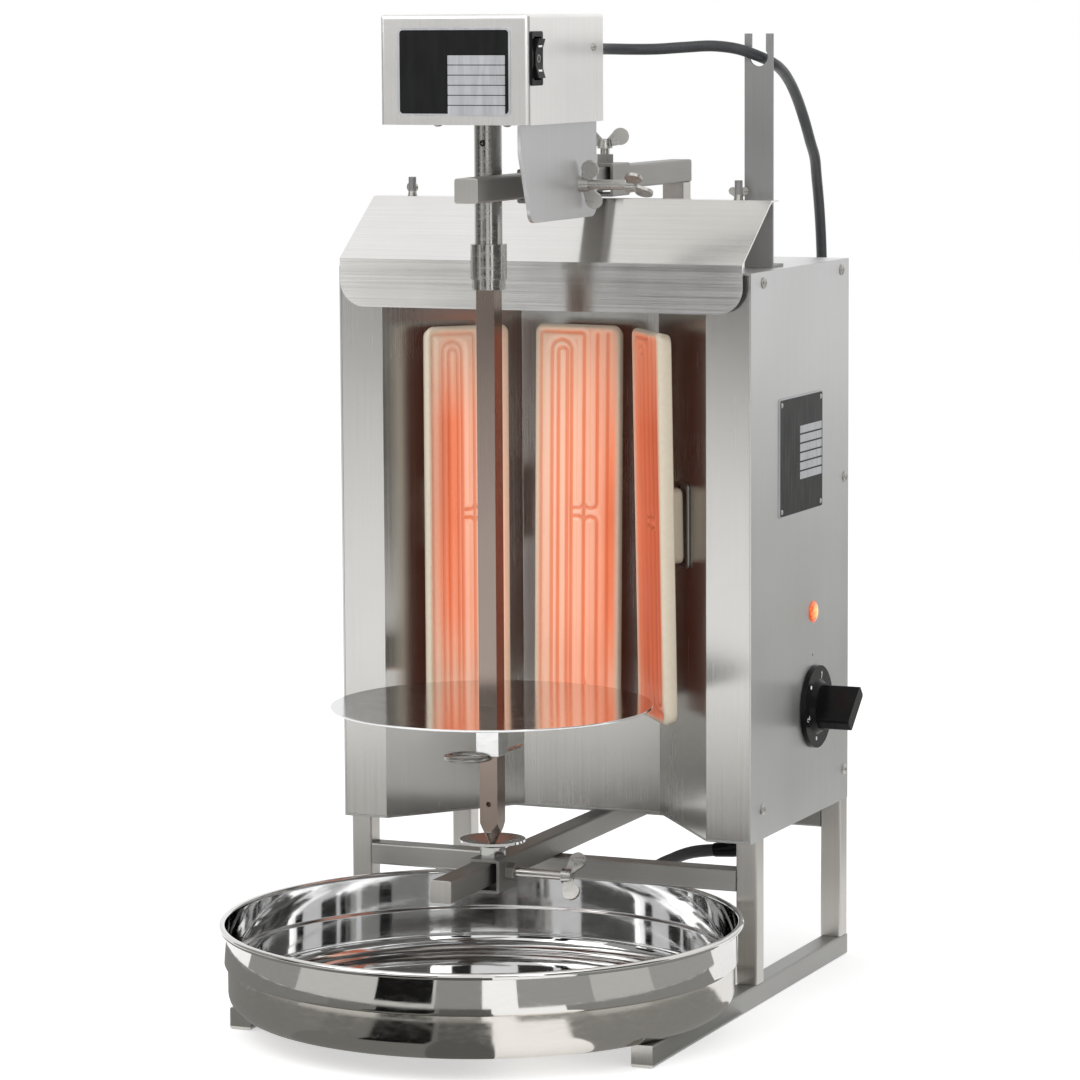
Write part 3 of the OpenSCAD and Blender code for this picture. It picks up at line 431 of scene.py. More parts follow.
# Turns the modifiers' result into the piece's own plain mesh
def settle(piece):
    graph = bpy.context.evaluated_depsgraph_get()
    made = bpy.data.meshes.new_from_object(piece.evaluated_get(graph))
    old = piece.data
    piece.modifiers.clear()
    piece.data = made
    if old.users == 0:
        bpy.data.meshes.remove(old)


# An empty group of geometry nodes with its inputs, each given as its key, label and kind
def startGroup(name, *inputs):
    tree = bpy.data.node_groups.new(name, "GeometryNodeTree")
    face = tree.interface
    face.new_socket("Geometry", in_out="INPUT", socket_type="NodeSocketGeometry")
    sockets = {}
    for key, label, kind in inputs:
        sockets[key] = face.new_socket(label, in_out="INPUT", socket_type="NodeSocket" + kind)
    face.new_socket("Geometry", in_out="OUTPUT", socket_type="NodeSocketGeometry")
    return tree, tree.nodes.new("NodeGroupInput"), sockets


# Ends a group with real geometry in its finish
def endGroup(tree, start, made):
    real = tree.nodes.new("GeometryNodeRealizeInstances")
    coat = tree.nodes.new("GeometryNodeSetMaterial")
    end = tree.nodes.new("NodeGroupOutput")
    feed(real, Geometry=made)
    feed(coat, Geometry=real.outputs["Geometry"], Material=start.outputs["Finish"])
    feed(end, Geometry=coat.outputs["Geometry"])


def runGroup(piece, tree, sockets, values):
    modifier = piece.modifiers.new("nodes", "NODES")
    modifier.node_group = tree
    for key, value in values.items():
        modifier[sockets[key].identifier] = value
    settle(piece)


def smoothFaces(mesh, angle=35):
    mesh.polygons.foreach_set("use_smooth", [True] * len(mesh.polygons))
    mesh.set_sharp_from_angle(angle=math.radians(angle))


# Adds a modifier with its settings and settles it
def modify(piece, kind, **values):
    modifier = piece.modifiers.new(kind.lower(), kind)
    for key, value in values.items():
        setattr(modifier, key, value)
    settle(piece)


def softenEdges(piece, width, segments=2, angle=32):
    modify(piece, "BEVEL", width=width, segments=segments, limit_method="ANGLE",
           angle_limit=math.radians(angle), use_clamp_overlap=True, harden_normals=False)


# Points along an arc, its turns in degrees from the right and anticlockwise
def arc(x, y, reach, start, end, steps, first=0):
    out = []
    for i in range(first, steps + 1):
        turn = math.radians(start + (end - start) * i / steps)
        out.append((x + reach * math.cos(turn), y + reach * math.sin(turn)))
    return out


def bodyOf(node):
    return nodes[node]["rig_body"]


# Lets a piece stand in a node's place
def standFor(piece, node):
    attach(piece, bodyOf(node))
    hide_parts(node)


# A finished piece in a CAD node's own shape, with rounded edges
def dress(node, material, edge, segments=2, angle=32):
    mesh = nodes[node].data.copy()
    work = bmesh.new()
    work.from_mesh(mesh)
    bmesh.ops.remove_doubles(work, verts=work.verts, dist=0.00002)
    bmesh.ops.dissolve_limit(work, angle_limit=math.radians(1), verts=work.verts, edges=work.edges)
    work.to_mesh(mesh)
    work.free()
    mesh.materials.clear()
    piece = newPiece(node + "_finished", mesh, finish[material])
    softenEdges(piece, edge, segments, angle)
    smoothFaces(piece.data, 46)
    modify(piece, "WEIGHTED_NORMAL", keep_sharp=True, weight=60)  # large faces stay flat beside rounded edges
    standFor(piece, node)
    return piece


# Cords

cordSizes = dict(mainsDiameter=0.008, leadDiameter=0.007)
coilSizes = dict(at=(-76, 250), turnSteps=16, outer=56, upper=40, pitch=8, floor=4, top=12, end=1890,
                 inwards=(260, 620), outwards=(1180, 1540), shift=100, climb=(920, 980), turnBack=950)

mainsRoute = [
    (97.5, 50, 90.8), (91.6, 50, 90), (85.5, 50.9, 88.9), (79.3, 52.6, 87.2), (72.6, 55.5, 84.6),
    (64, 60.5, 80.5), (54, 66.7, 75.5), (42, 75.3, 67.5), (27, 87, 55.3), (13, 100, 41), (1, 116, 26),
    (-8, 135, 13), (-15, 156, 6), (-18, 178, 4), (-20, 202, 4), (-20, 224, 4)]
plugRoute = [
    (-91, 306, 10.6), (-106, 306, 8.6), (-118, 304.8, 7), (-130, 301.2, 6.6), (-141, 295, 8.6),
    (-150, 286.5, 12.8), (-155.8, 275.6, 16.8), (-158, 264.5, 19), (-158, 254, 19)]
leadRoute = [
    (38, 0, 602), (38, 8, 602), (41.6, 19.4, 601.8), (50.2, 29.4, 601.5), (63, 36.8, 601.5),
    (81, 41.8, 602.6), (99, 46, 603.3), (113, 51.5, 601.3), (123.3, 60.5, 596.8), (128.2, 73, 592.5),
    (128.5, 89, 587.5), (127, 106, 581), (125.4, 122, 572.6), (123.4, 138, 562.7), (122, 152, 551.4),
    (120, 166, 540.6), (117.5, 182, 529.4), (113.5, 197, 515.8), (110.4, 209.6, 501.5),
    (107.7, 220.6, 485), (105.5, 229, 469), (104, 234, 458.5), (103.3, 235.4, 447.5),
    (103, 232.8, 436.3), (103, 226.2, 426.8), (103, 216.5, 420.3), (103, 206, 418.1), (103, 199, 418)]


def ease(angle, start, end, low, high):
    share = min(1, max(0, (angle - start) / (end - start)))
    return low + (high - low) * (1 - math.cos(math.pi * share)) / 2


# A point of the wound length: three turns beside each other, then back on top of them
def coilPoint(angle):
    size = coilSizes
    lower = angle < size["turnBack"]
    radius = size["outer"] if lower else size["upper"]
    step = -size["pitch"] if lower else size["pitch"]
    for start in size["inwards"] if lower else size["outwards"]:
        radius += ease(angle, start, start + size["shift"], 0, step)
    height = ease(angle, *size["climb"], size["floor"], size["top"])
    turn = math.radians(angle)
    x, y = size["at"]
    return (x + radius * math.cos(turn), y + radius * math.sin(turn), height)


def windCoil():
    count = round(coilSizes["end"] / 360 * coilSizes["turnSteps"])
    return [coilPoint(coilSizes["end"] * i / count) for i in range(count + 1)]


def cordLine(name, points, diameter):
    line = bpy.data.curves.new(name, "CURVE")
    line.dimensions = "3D"
    line.bevel_depth = diameter / 2
    line.bevel_resolution = 5
    line.resolution_u = 6
    line.use_fill_caps = True
    spline = line.splines.new("BEZIER")
    spline.bezier_points.add(len(points) - 1)
    for knot, point in zip(spline.bezier_points, points):
        knot.co = housing(*point)
        knot.handle_left_type = "AUTO"
        knot.handle_right_type = "AUTO"
    return bpy.data.objects.new(name, line)


# Evenly curved line through given points, whatever their distances
def throughPoints(points, steps=6):
    places = [housing(*p) for p in points]
    ends = [2 * places[0] - places[1]] + places + [2 * places[-1] - places[-2]]
    out = []
    for i in range(1, len(ends) - 2):
        a, b, c, d = ends[i - 1:i + 3]
        before, here, after = ((q - p).length for p, q in ((a, b), (b, c), (c, d)))
        start = ((b - a) / before * here + (c - b) / here * before) / (before + here) * here
        leave = ((c - b) / here * after + (d - c) / after * here) / (here + after) * here
        for k in range(steps):
            t = k / steps
            out.append(b * (2 * t ** 3 - 3 * t ** 2 + 1) + start * (t ** 3 - 2 * t ** 2 + t)
                       + c * (3 * t ** 2 - 2 * t ** 3) + leave * (t ** 3 - t ** 2))
    out.append(places[-1])
    return out


# A closed tube along a line, with rings that don't twist
def tubeMesh(name, line, radius, sides=14):
    work = bmesh.new()
    across = Vector((0, 0, 1))
    circle = arc(0, 0, radius, 0, 360, sides)[:-1]
    rings = []
    for i, point in enumerate(line):
        ahead = (line[min(i + 1, len(line) - 1)] - line[max(i - 1, 0)]).normalized()
        across = (across - ahead * across.dot(ahead)).normalized()
        other = ahead.cross(across)
        rings.append([work.verts.new(point + across * x + other * y) for x, y in circle])
    for one, two in zip(rings, rings[1:]):
        sew(work, one, two)
    work.faces.new(list(reversed(rings[0])))
    work.faces.new(rings[-1])
    mesh = meshFrom(work, name)
    smoothFaces(mesh, 60)
    return mesh


def makeMainsCord():
    points = mainsRoute + windCoil() + plugRoute
    cord = cordLine("mains_cord_line", points, cordSizes["mainsDiameter"])
    scene.collection.objects.link(cord)
    cord.data.materials.append(finish["cable_rubber"])
    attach(cord, "stand")
    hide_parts("mains_cord", "mains_coil", "mains_cord_end")
    plug = dress("mains_plug", "black_plastic", 0.0008)
    gland = dress("mains_gland", "black_plastic", 0.0004)


def makeMotorLead():
    line = throughPoints(leadRoute)
    mesh = tubeMesh("motor_lead_line", line, cordSizes["leadDiameter"] / 2)
    lead = newPiece("motor_lead_line", mesh, finish["cable_rubber"])
    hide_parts("motor_lead")
    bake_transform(lead)


makeMainsCord()
makeMotorLead()
print("cords laid")


# Stand, housing, motor head and spit

# Each row: finish, width of the rounded edges, nodes, and for some the edges' steps and least angle
standFinish = (
    ("rail_steel", 0.0003, "left_rail right_rail"),
    ("tube_back", 0.0003, "lower_arm top_arm"),
    ("tube_up", 0.0003, "front_legs rear_legs rear_post"),
    ("tube_across", 0.0003, "front_crossbar rear_crossbar"),
    ("tube_up", 0.0005, "tube_plugs"))
housingFinish = (
    ("bottom_steel", 0.0003, "bottom_plate"),
    ("reflector_steel", 0.0003, "reflector"),
    ("panel_steel", 0.0004, "left_side_panel right_side_panel"),
    ("panel_steel", 0.0003, "back_panel"),
    ("top_steel", 0.0003, "top_cover"),
    ("hood_steel", 0.0008, "hood", 3, 20),
    ("fork_steel", 0.0003, "hood_bracket cable_fork"),
    ("fastener_steel", 0.0001, "panel_screws"),
    ("white_insulator", 0.0003, "terminal_block"),
    ("white_insulator", 0.0005, "energy_regulator"),
    ("black_plastic", 0.0004, "lead_gland"),
    ("lamp_lens", 0.0002, "indicator_lamp"))
headFinish = (
    ("cover_steel", 0.0006, "motor_cover", 3),
    ("cover_steel", 0.0003, "motor_base"),
    ("cheek_steel", 0.0004, "cheek_plate"),
    ("cast_body", 0.0005, "gear_motor"),
    ("fastener_steel", 0.0001, "motor_screws"),
    ("black_plastic", 0.0003, "rocker_frame"),
    ("black_plastic", 0.0004, "rocker"),
    ("black_plastic", 0.0003, "box_gland"),
    ("tube_back", 0.0003, "carriage_sleeve stop_sleeve foot_sleeve"),
    ("fastener_steel", 0.0003, "carriage_screw lock_nut stop_bolt foot_screw left_hood_nut right_hood_nut"))
spitFinish = (
    ("mirror_steel", 0.0003, "pivot_cup"),
    ("turned_steel", 0.0003, "drive_tube output_shaft"),
    ("bar_steel", 0.0003, "spit"),
    ("disc_steel", 0.0002, "meat_disc"),
    ("fastener_steel", 0.0002, "ring_pin"),
    ("black_plastic", 0.0005, "knob"))


def dressAll(rows):
    for material, edge, names, *bevel in rows:
        for node in names.split():
            dress(node, material, edge, *bevel)


dressAll(standFinish)
dressAll(housingFinish)
print("stand and housing dressed")
dressAll(headFinish)
dressAll(spitFinish)
print("head and spit dressed")


# Drip pan

panSizes = dict(step=0.0022, stepRise=0.0016, corner=0.011, wall=0.001, roll=0.0026, turns=192, floor=8,
                curve=8, band=3, margin=0.0004, rollSteps=12, rollEnd=-63)


# Outer line of the wall from the floor's edge to the rolled rim, as (radius, height)
def panProfile(reach, height):
    size = panSizes
    roll, corner, steps = size["roll"], size["corner"], size["curve"]
    wall = size["wall"] / 2
    outer = reach - 2 * roll
    inner = outer - size["step"]
    mid = height / 2
    line = [(inner - corner, 0)]
    line += arc(inner - corner, corner, corner, -90, 0, steps, 1)

    # Rings along a flat band keep its shading even
    def band(radius, low, high):
        return [(radius, low + (high - low) * i / size["band"]) for i in range(size["band"] + 1)]

    line += band(inner, corner + 2 * size["margin"], mid - size["margin"])
    for i in range(steps + 1):
        share = i / steps
        drop = size["step"] * (1 - math.cos(math.pi * share)) / 2
        line.append((inner + drop, mid + size["stepRise"] * share))
    line += band(outer, mid + size["stepRise"] + size["margin"], height - roll * 1.5)
    middle = (outer + roll - wall, height - roll - wall)
    return line + arc(*middle, roll - wall, 180, size["rollEnd"], size["rollSteps"])


def makePan():
    low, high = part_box("drip_pan")
    mid = (low + high) / 2
    line = panProfile((high.x - low.x) / 2, high.z - low.z)
    inside = [(line[0][0] * i / panSizes["floor"], 0) for i in range(1, panSizes["floor"])]
    turns = panSizes["turns"]
    work = bmesh.new()
    rings = []
    for radius, rise in inside + line:
        circle = arc(mid.x, mid.y, radius, 0, 360, turns)[:-1]
        rings.append([work.verts.new((x, y, low.z + rise)) for x, y in circle])
    middle = work.verts.new((mid.x, mid.y, low.z))
    for k in range(turns):
        work.faces.new((middle, rings[0][k], rings[0][(k + 1) % turns]))
    for one, two in zip(rings, rings[1:]):
        sew(work, two, one)
    mesh = meshFrom(work, "drip_pan_shell", finish["mirror_steel"], finish["pan_satin"], finish["pan_band"])
    pan = newPiece("drip_pan_shell", mesh)
    modify(pan, "SOLIDIFY", thickness=panSizes["wall"], offset=-1)
    step = mid.z + 0.0015
    for face in pan.data.polygons:
        out = Vector((face.center.x - mid.x, face.center.y - mid.y, 0)).normalized()
        if out.dot(face.normal) > 0.3 or face.normal.z < -0.8:
            face.material_index = 1 if face.center.z < step else 2
    smoothFaces(pan.data, 50)
    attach(pan, "pan")
    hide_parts("drip_pan")


makePan()
print("drip pan made")


# Plates and marks

# Millimetres: the plate's edges, its silver border, and its field with ruled rows
frontPlate = dict(left=-37, right=37, low=563.5, high=616, corner=3, thick=0.5, border=1.3,
                  field=(-4, 33.5, 599.6), rows=6, row=6, gap=0.5)
sidePlate = dict(left=49.5, right=130.3, low=306, high=381.8, corner=2.5, thick=0.8, border=0.9,
                 field=(87, 128, 362), rows=6, row=5.9, gap=1.1, rivet=0.0017, rivetRise=0.0007, inset=4)


# Outline of a rounded rectangle, anticlockwise
def roundedOutline(left, right, low, high, corner, steps=6):
    out = []
    for x, z, start in ((right, low, -90), (right, high, 0), (left, high, 90), (left, low, 180)):
        middleX = x - corner if x == right else x + corner
        middleZ = z - corner if z == high else z + corner
        out += arc(middleX, middleZ, corner, start, start + 90, steps)
    return out


# A flat tile standing on a face, its outline given across and up in millimetres
def tile(work, outline, base, top, place, slot=0):
    low = [work.verts.new(place(x, base, z)) for x, z in outline]
    high = [work.verts.new(place(x, top, z)) for x, z in outline]
    for face in [work.faces.new(high), work.faces.new(list(reversed(low)))] + sew(work, low, high):
        face.material_index = slot


def plateMesh(name, size, place):
    work = bmesh.new()
    border, thick = size["border"], size["thick"]
    edges = (size["left"], size["right"], size["low"], size["high"])
    tile(work, roundedOutline(*edges, size["corner"]), -0.05, thick, place)
    inner = (edges[0] + border, edges[1] - border, edges[2] + border, edges[3] - border)
    tile(work, roundedOutline(*inner, size["corner"] * 0.7), thick, thick + 0.06, place, 1)
    left, right, top = size["field"]
    for i in range(size["rows"]):
        high = top - i * size["row"]
        row = roundedOutline(left, right, high - size["row"] + size["gap"], high, 0.3, 2)
        tile(work, row, thick + 0.06, thick + 0.12, place, 2)
    return meshFrom(work, name, *(finish["plate_" + kind] for kind in ("silver", "black", "silver")))


# Domed heads on a set of points
def domeTree(name):
    tree, start, sockets = startGroup(
        name, ("radius", "Head Radius", "Float"), ("rise", "Head Rise", "Float"),
        ("turn", "Head Turn", "Vector"), ("finish", "Finish", "Material"))
    ball = addNode(tree, "GeometryNodeMeshUVSphere", Segments=20, Rings=10)
    scale = tree.nodes.new("ShaderNodeCombineXYZ")
    heads = tree.nodes.new("GeometryNodeInstanceOnPoints")
    feed(scale, X=start.outputs["Head Radius"], Y=start.outputs["Head Radius"], Z=start.outputs["Head Rise"])
    feed(heads, Points=start.outputs["Geometry"], Instance=ball.outputs["Mesh"],
         Rotation=start.outputs["Head Turn"], Scale=scale.outputs["Vector"])
    endGroup(tree, start, heads.outputs["Instances"])
    return tree, sockets


def makeDomes(name, points, body, slot, **look):
    mesh = bpy.data.meshes.new(name)
    mesh.from_pydata([tuple(p) for p in points], [], [])
    piece = newPiece(name, mesh, look["finish"])
    runGroup(piece, *domeTree(name + "_tree"), look)
    smoothFaces(piece.data, 60)
    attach(piece, body)


def makePlates():
    coverLow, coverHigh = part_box("motor_cover")
    coverMid = (coverLow.x + coverHigh.x) / 2

    def onFront(x, out, z):
        return Vector((coverMid + x / 1000, coverLow.y - out / 1000, z / 1000))

    def onSide(y, out, z):
        return housing(0, y, z) + Vector((rightPanel[1].x - panelMid + out / 1000, 0, 0))

    mesh = plateMesh("front_plate", frontPlate, onFront)
    newPiece("front_plate", mesh, None, bodyOf("motor_cover"))
    mesh = plateMesh("side_plate", sidePlate, onSide)
    newPiece("side_plate", mesh, None, "stand")
    inset = sidePlate["inset"]
    corners = [onSide(y, sidePlate["thick"], z)
               for y in (sidePlate["left"] + inset, sidePlate["right"] - inset)
               for z in (sidePlate["low"] + inset, sidePlate["high"] - inset)]
    makeDomes("plate_rivets", corners, "stand", "screw_steel", radius=sidePlate["rivet"],
              rise=sidePlate["rivetRise"], turn=(0, math.pi / 2, 0), finish=finish["fastener_steel"])


# Flat white marks: strokes given as points across and up, in millimetres
def strokeMesh(work, points, width, place, lift=0.12):
    for (x0, z0), (x1, z1) in zip(points, points[1:]):
        along = Vector((x1 - x0, z1 - z0)).normalized() * width / 2
        side = Vector((-along.y, along.x))
        ends = ((x0 - along.x, z0 - along.y, 1), (x0 - along.x, z0 - along.y, -1),
                (x1 + along.x, z1 + along.y, -1), (x1 + along.x, z1 + along.y, 1))
        outline = [(x + side.x * way, z + side.y * way) for x, z, way in ends]
        tile(work, outline, -0.03, lift, place)


markShapes = {
    "1": [(-0.9, 1.1), (0.2, 1.8), (0.2, -1.8)],
    "2": [(-1, 1), (-0.6, 1.6), (0.3, 1.8), (1, 1.3), (0.9, 0.5), (-1, -1.8), (1.1, -1.8)],
    "3": [(-1, 1.5), (0, 1.8), (0.9, 1.3), (0.7, 0.4), (-0.1, 0.1), (0.8, -0.3), (1, -1.2), (0.1, -1.8),
          (-1, -1.5)]}
dialMarks = dict(order=("1", "dot", "2", "dot", "3", "dot"), first=14, reach=20.8, size=1.15, dot=1.15,
                 stroke=0.6)
rockerMarks = dict(bars=(7.2, -7.2), wide=4.2, tall=1.1, ring=(1.9, 2.2), stroke=0.6, flat=4, slope=0.29,
                   sink=2.2)


def makeDialMarks():
    mid = midOf("knob")
    face = rightPanel[1].x + dialFace()
    work = bmesh.new()
    look = dialMarks
    for i, mark in enumerate(look["order"]):
        turn = math.radians(look["first"] - 360 / len(look["order"]) * i)

        def onDial(y, out, z, turn=turn):
            across = -y * look["size"]
            up = z * look["size"] + look["reach"]
            return Vector((face + out / 1000, mid.y - (across * math.cos(turn) - up * math.sin(turn)) / 1000,
                           mid.z + (across * math.sin(turn) + up * math.cos(turn)) / 1000))

        if mark == "dot":
            dot = look["dot"]
            tile(work, roundedOutline(-dot, dot, -dot, dot, dot, 3), -0.03, 0.12, onDial)
        else:
            strokeMesh(work, markShapes[mark], look["stroke"], onDial)
    mesh = meshFrom(work, "dial_marks")
    newPiece("dial_marks", mesh, finish["white_paint"], bodyOf("knob"))


# Two bars and a ring on the rocker's hollowed face
def makeRockerMarks():
    low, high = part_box("rocker")
    mid = (low + high) / 2
    look = rockerMarks

    def onRocker(y, out, z):
        rise = max(0, abs(z) - look["flat"]) * look["slope"]
        return Vector((high.x + (rise - look["sink"] + out) / 1000, mid.y + y / 1000, mid.z + z / 1000))

    work = bmesh.new()
    half = look["wide"] / 2
    for z in look["bars"]:
        strokeMesh(work, [(-half, z), (half, z)], look["tall"], onRocker)
    wide, tall = look["ring"]
    ring = [(wide * math.sin(i * math.pi / 8), tall * math.cos(i * math.pi / 8)) for i in range(17)]
    strokeMesh(work, ring, look["stroke"], onRocker)
    mesh = meshFrom(work, "rocker_marks")
    newPiece("rocker_marks", mesh, finish["white_paint"], bodyOf("rocker"))


# How far the dial's flat face stands off the panel
def dialFace():
    mid = midOf("knob")
    far = [vert.co.x for vert in nodes["knob"].data.vertices
           if math.hypot(vert.co.y - mid.y, vert.co.z - mid.z) > 0.02]
    return round(max(far), 5) - rightPanel[1].x


makePlates()
makeDialMarks()
makeRockerMarks()
print("plates and marks made")


# Heaters

# Millimetres, but the grooves' sizes are in metres
heaterSizes = dict(width=60, length=248.4, back=8, rise=1.5, corner=6, edge=2.6, stepAcross=110, stepUp=240,
                   rim=1.2, fade=3.2, nubWidth=22, nubLength=48, nubDepth=11.5, nubCorner=5)
slabFoot = ((0.945, 0.988, -0.0008), (0.98, 0.995, 0))  # the wall's taper across and up, and how far back
grooveSizes = dict(width=0.0016, depth=0.0012, crown=0.0052, crownDepth=0.0011)


# A groove up one side, round two corners and down the other side
def archLine(left, right, top, radius, foot):
    first = arc(left + radius, top - radius, radius, 180, 90, 8, 1)
    second = arc(right - radius, top - radius, radius, 90, 0, 8)
    return [(left, foot), (left, top - radius)] + first + second + [(right, foot)]


# Grooves between the raised ribs, across and up from the lower left corner
def grooveLines():
    top = heaterSizes["length"]
    half = top / 2
    lines = [archLine(4.2, 34.4, top - 5.2, 2.5, 5.5), archLine(12, 25.6, top - 10, 6.7, 5.5),
             archLine(16.4, 22.6, top - 15, 3, 5.5)]

    # Two loops that meet at half height, each with a short branch to the left
    for end, base, far, bent, hook in ((top - 6, half + 5.6, 3.4, 0.9, 1), (16, half + 0.4, -3.4, -1, -1)):
        lines.append([(43.6, end), (43.6, base + far), (42.6, base + bent), (39, base), (35.6, base + bent),
                      (34.4, base + far)])
        lines.append([(34.4, base + far), (33.6, base + hook), (31, base), (27.5, base)])
    lines.append([(50.8, top - 5.5), (50.8, 16)])
    bend = [(34.4 + 8.2 - 8.2 * math.cos(math.pi / 2 * i / 6), 22 - 14 * math.sin(math.pi / 2 * i / 6))
            for i in range(7)]
    lines.append(bend + [(50, 7), (57, 6)])
    lines.append([(43.6, 16), (43.9, 13.4), (45.2, 12), (47.2, 11.6), (49.2, 12), (50.5, 13.4), (50.8, 16)])
    return lines


# Raised ribs and their glow, from the distance to the nearest groove
def ribTree():
    tree, start, sockets = startGroup(
        "heater_ribs", ("lines", "Groove Lines", "Object"), ("width", "Groove Width", "Float"),
        ("depth", "Groove Depth", "Float"), ("crown", "Crown Width", "Float"),
        ("crownDepth", "Crown Depth", "Float"), ("finish", "Finish", "Material"))
    lines = tree.nodes.new("GeometryNodeObjectInfo")
    feed(lines, Object=start.outputs["Groove Lines"])
    near = addNode(tree, "GeometryNodeProximity", target_element="EDGES")
    tree.links.new(lines.outputs["Geometry"], near.inputs[0])
    falls = []
    for width in ("Groove Width", "Crown Width"):
        fall = addNode(tree, "ShaderNodeMapRange", interpolation_type="SMOOTHSTEP", To_Min=1, To_Max=0)
        feed(fall, Value=near.outputs["Distance"], From_Max=start.outputs[width])
        falls.append(fall.outputs["Result"])
    face = addNode(tree, "GeometryNodeInputNamedAttribute", data_type="FLOAT", Name="face")

    # Two falls added, each times its own amount, and only where the face is flat
    def together(one, two):
        parts = [maths(tree, "MULTIPLY", fall, amount) for fall, amount in zip(falls, (one, two))]
        return maths(tree, "MULTIPLY", maths(tree, "ADD", *parts), face.outputs["Attribute"])

    # This groove value also places the painted highlight on the crests and the painted shade in the grooves
    store = addNode(tree, "GeometryNodeStoreNamedAttribute", data_type="FLOAT", domain="POINT", Name="groove")
    feed(store, Geometry=start.outputs["Geometry"], Value=together(0.65, 0.35))
    shift = tree.nodes.new("ShaderNodeCombineXYZ")
    feed(shift, Y=together(start.outputs["Groove Depth"], start.outputs["Crown Depth"]))
    move = tree.nodes.new("GeometryNodeSetPosition")
    feed(move, Geometry=store.outputs["Geometry"], Offset=shift.outputs["Vector"])
    endGroup(tree, start, move.outputs["Geometry"])
    return tree, sockets


# Distance inside a rounded rectangle's edge, and the nearest place on or inside it
def insideEdge(x, z, halfX, halfZ, corner):
    dx = abs(x) - (halfX - corner)
    dz = abs(z) - (halfZ - corner)
    if dx > 0 and dz > 0:
        reach = math.hypot(dx, dz)
        if reach > corner:
            share = corner / reach
            x = math.copysign(halfX - corner + dx * share, x)
            z = math.copysign(halfZ - corner + dz * share, z)
            return 0, x, z
        return corner - reach, x, z
    return min(halfX - abs(x), halfZ - abs(z)), x, z


def slabMesh():
    size = heaterSizes
    halfX, halfZ = size["width"] / 2, size["length"] / 2
    across, up, edge = size["stepAcross"], size["stepUp"], size["edge"]
    work = bmesh.new()
    face = work.verts.layers.float.new("face")
    grid = []
    for k in range(up + 1):
        row = []
        for i in range(across + 1):
            x = halfX * (2 * i / across - 1)
            z = halfZ * (2 * k / up - 1)
            gap, x, z = insideEdge(x, z, halfX, halfZ, size["corner"])
            turn = min(1, gap / edge)
            sink = edge * (1 - math.sqrt(max(0, 1 - (1 - turn) ** 2)))
            vert = work.verts.new((x / 1000, (-size["back"] - size["rise"] + sink) / 1000, z / 1000))
            vert[face] = min(1, max(0, (gap - size["rim"]) / size["fade"]))
            row.append(vert)
        grid.append(row)
    for k in range(up):
        for i in range(across):
            work.faces.new((grid[k][i], grid[k][i + 1], grid[k + 1][i + 1], grid[k + 1][i]))
    bmesh.ops.remove_doubles(work, verts=work.verts, dist=0.00001)
    rim = [e for e in work.edges if e.is_boundary]
    for wide, tall, back in slabFoot:
        wall = bmesh.ops.extrude_edge_only(work, edges=rim)["geom"]
        for vert in (v for v in wall if isinstance(v, bmesh.types.BMVert)):
            vert.co = (vert.co.x * wide, back, vert.co.z * tall)
            vert[face] = 0
        rim = [e for e in wall if isinstance(e, bmesh.types.BMEdge)]
    bmesh.ops.contextual_create(work, geom=rim)
    addNub(work, size)
    return meshFrom(work, "heater_slab")


# The mounting lug on a heater's back, closed and with rounded ends
def addNub(work, size):
    deep = size["nubDepth"]
    rings = []
    for out, shrink in ((-0.5, 0), (deep - 2, 0), (deep - 0.7, 0.7), (deep, 2)):
        half = size["nubWidth"] / 2 - shrink
        tall = size["nubLength"] / 2 - shrink
        outline = roundedOutline(-half, half, -tall, tall, size["nubCorner"] - shrink)
        rings.append([work.verts.new((x / 1000, out / 1000, z / 1000)) for x, z in outline])
    for one, two in zip(rings, rings[1:]):
        sew(work, one, two)
    work.faces.new(rings[0])
    work.faces.new(list(reversed(rings[-1])))


def lineObject():
    size = heaterSizes
    points = []
    edges = []
    for line in grooveLines():
        edges += [(len(points) + i, len(points) + i + 1) for i in range(len(line) - 1)]
        points += [((x - size["width"] / 2) / 1000, -(size["back"] + size["rise"]) / 1000,
                    (z - size["length"] / 2) / 1000) for x, z in line]
    mesh = bpy.data.meshes.new("groove_lines")
    mesh.from_pydata(points, edges, [])
    return newPiece("groove_lines", mesh)


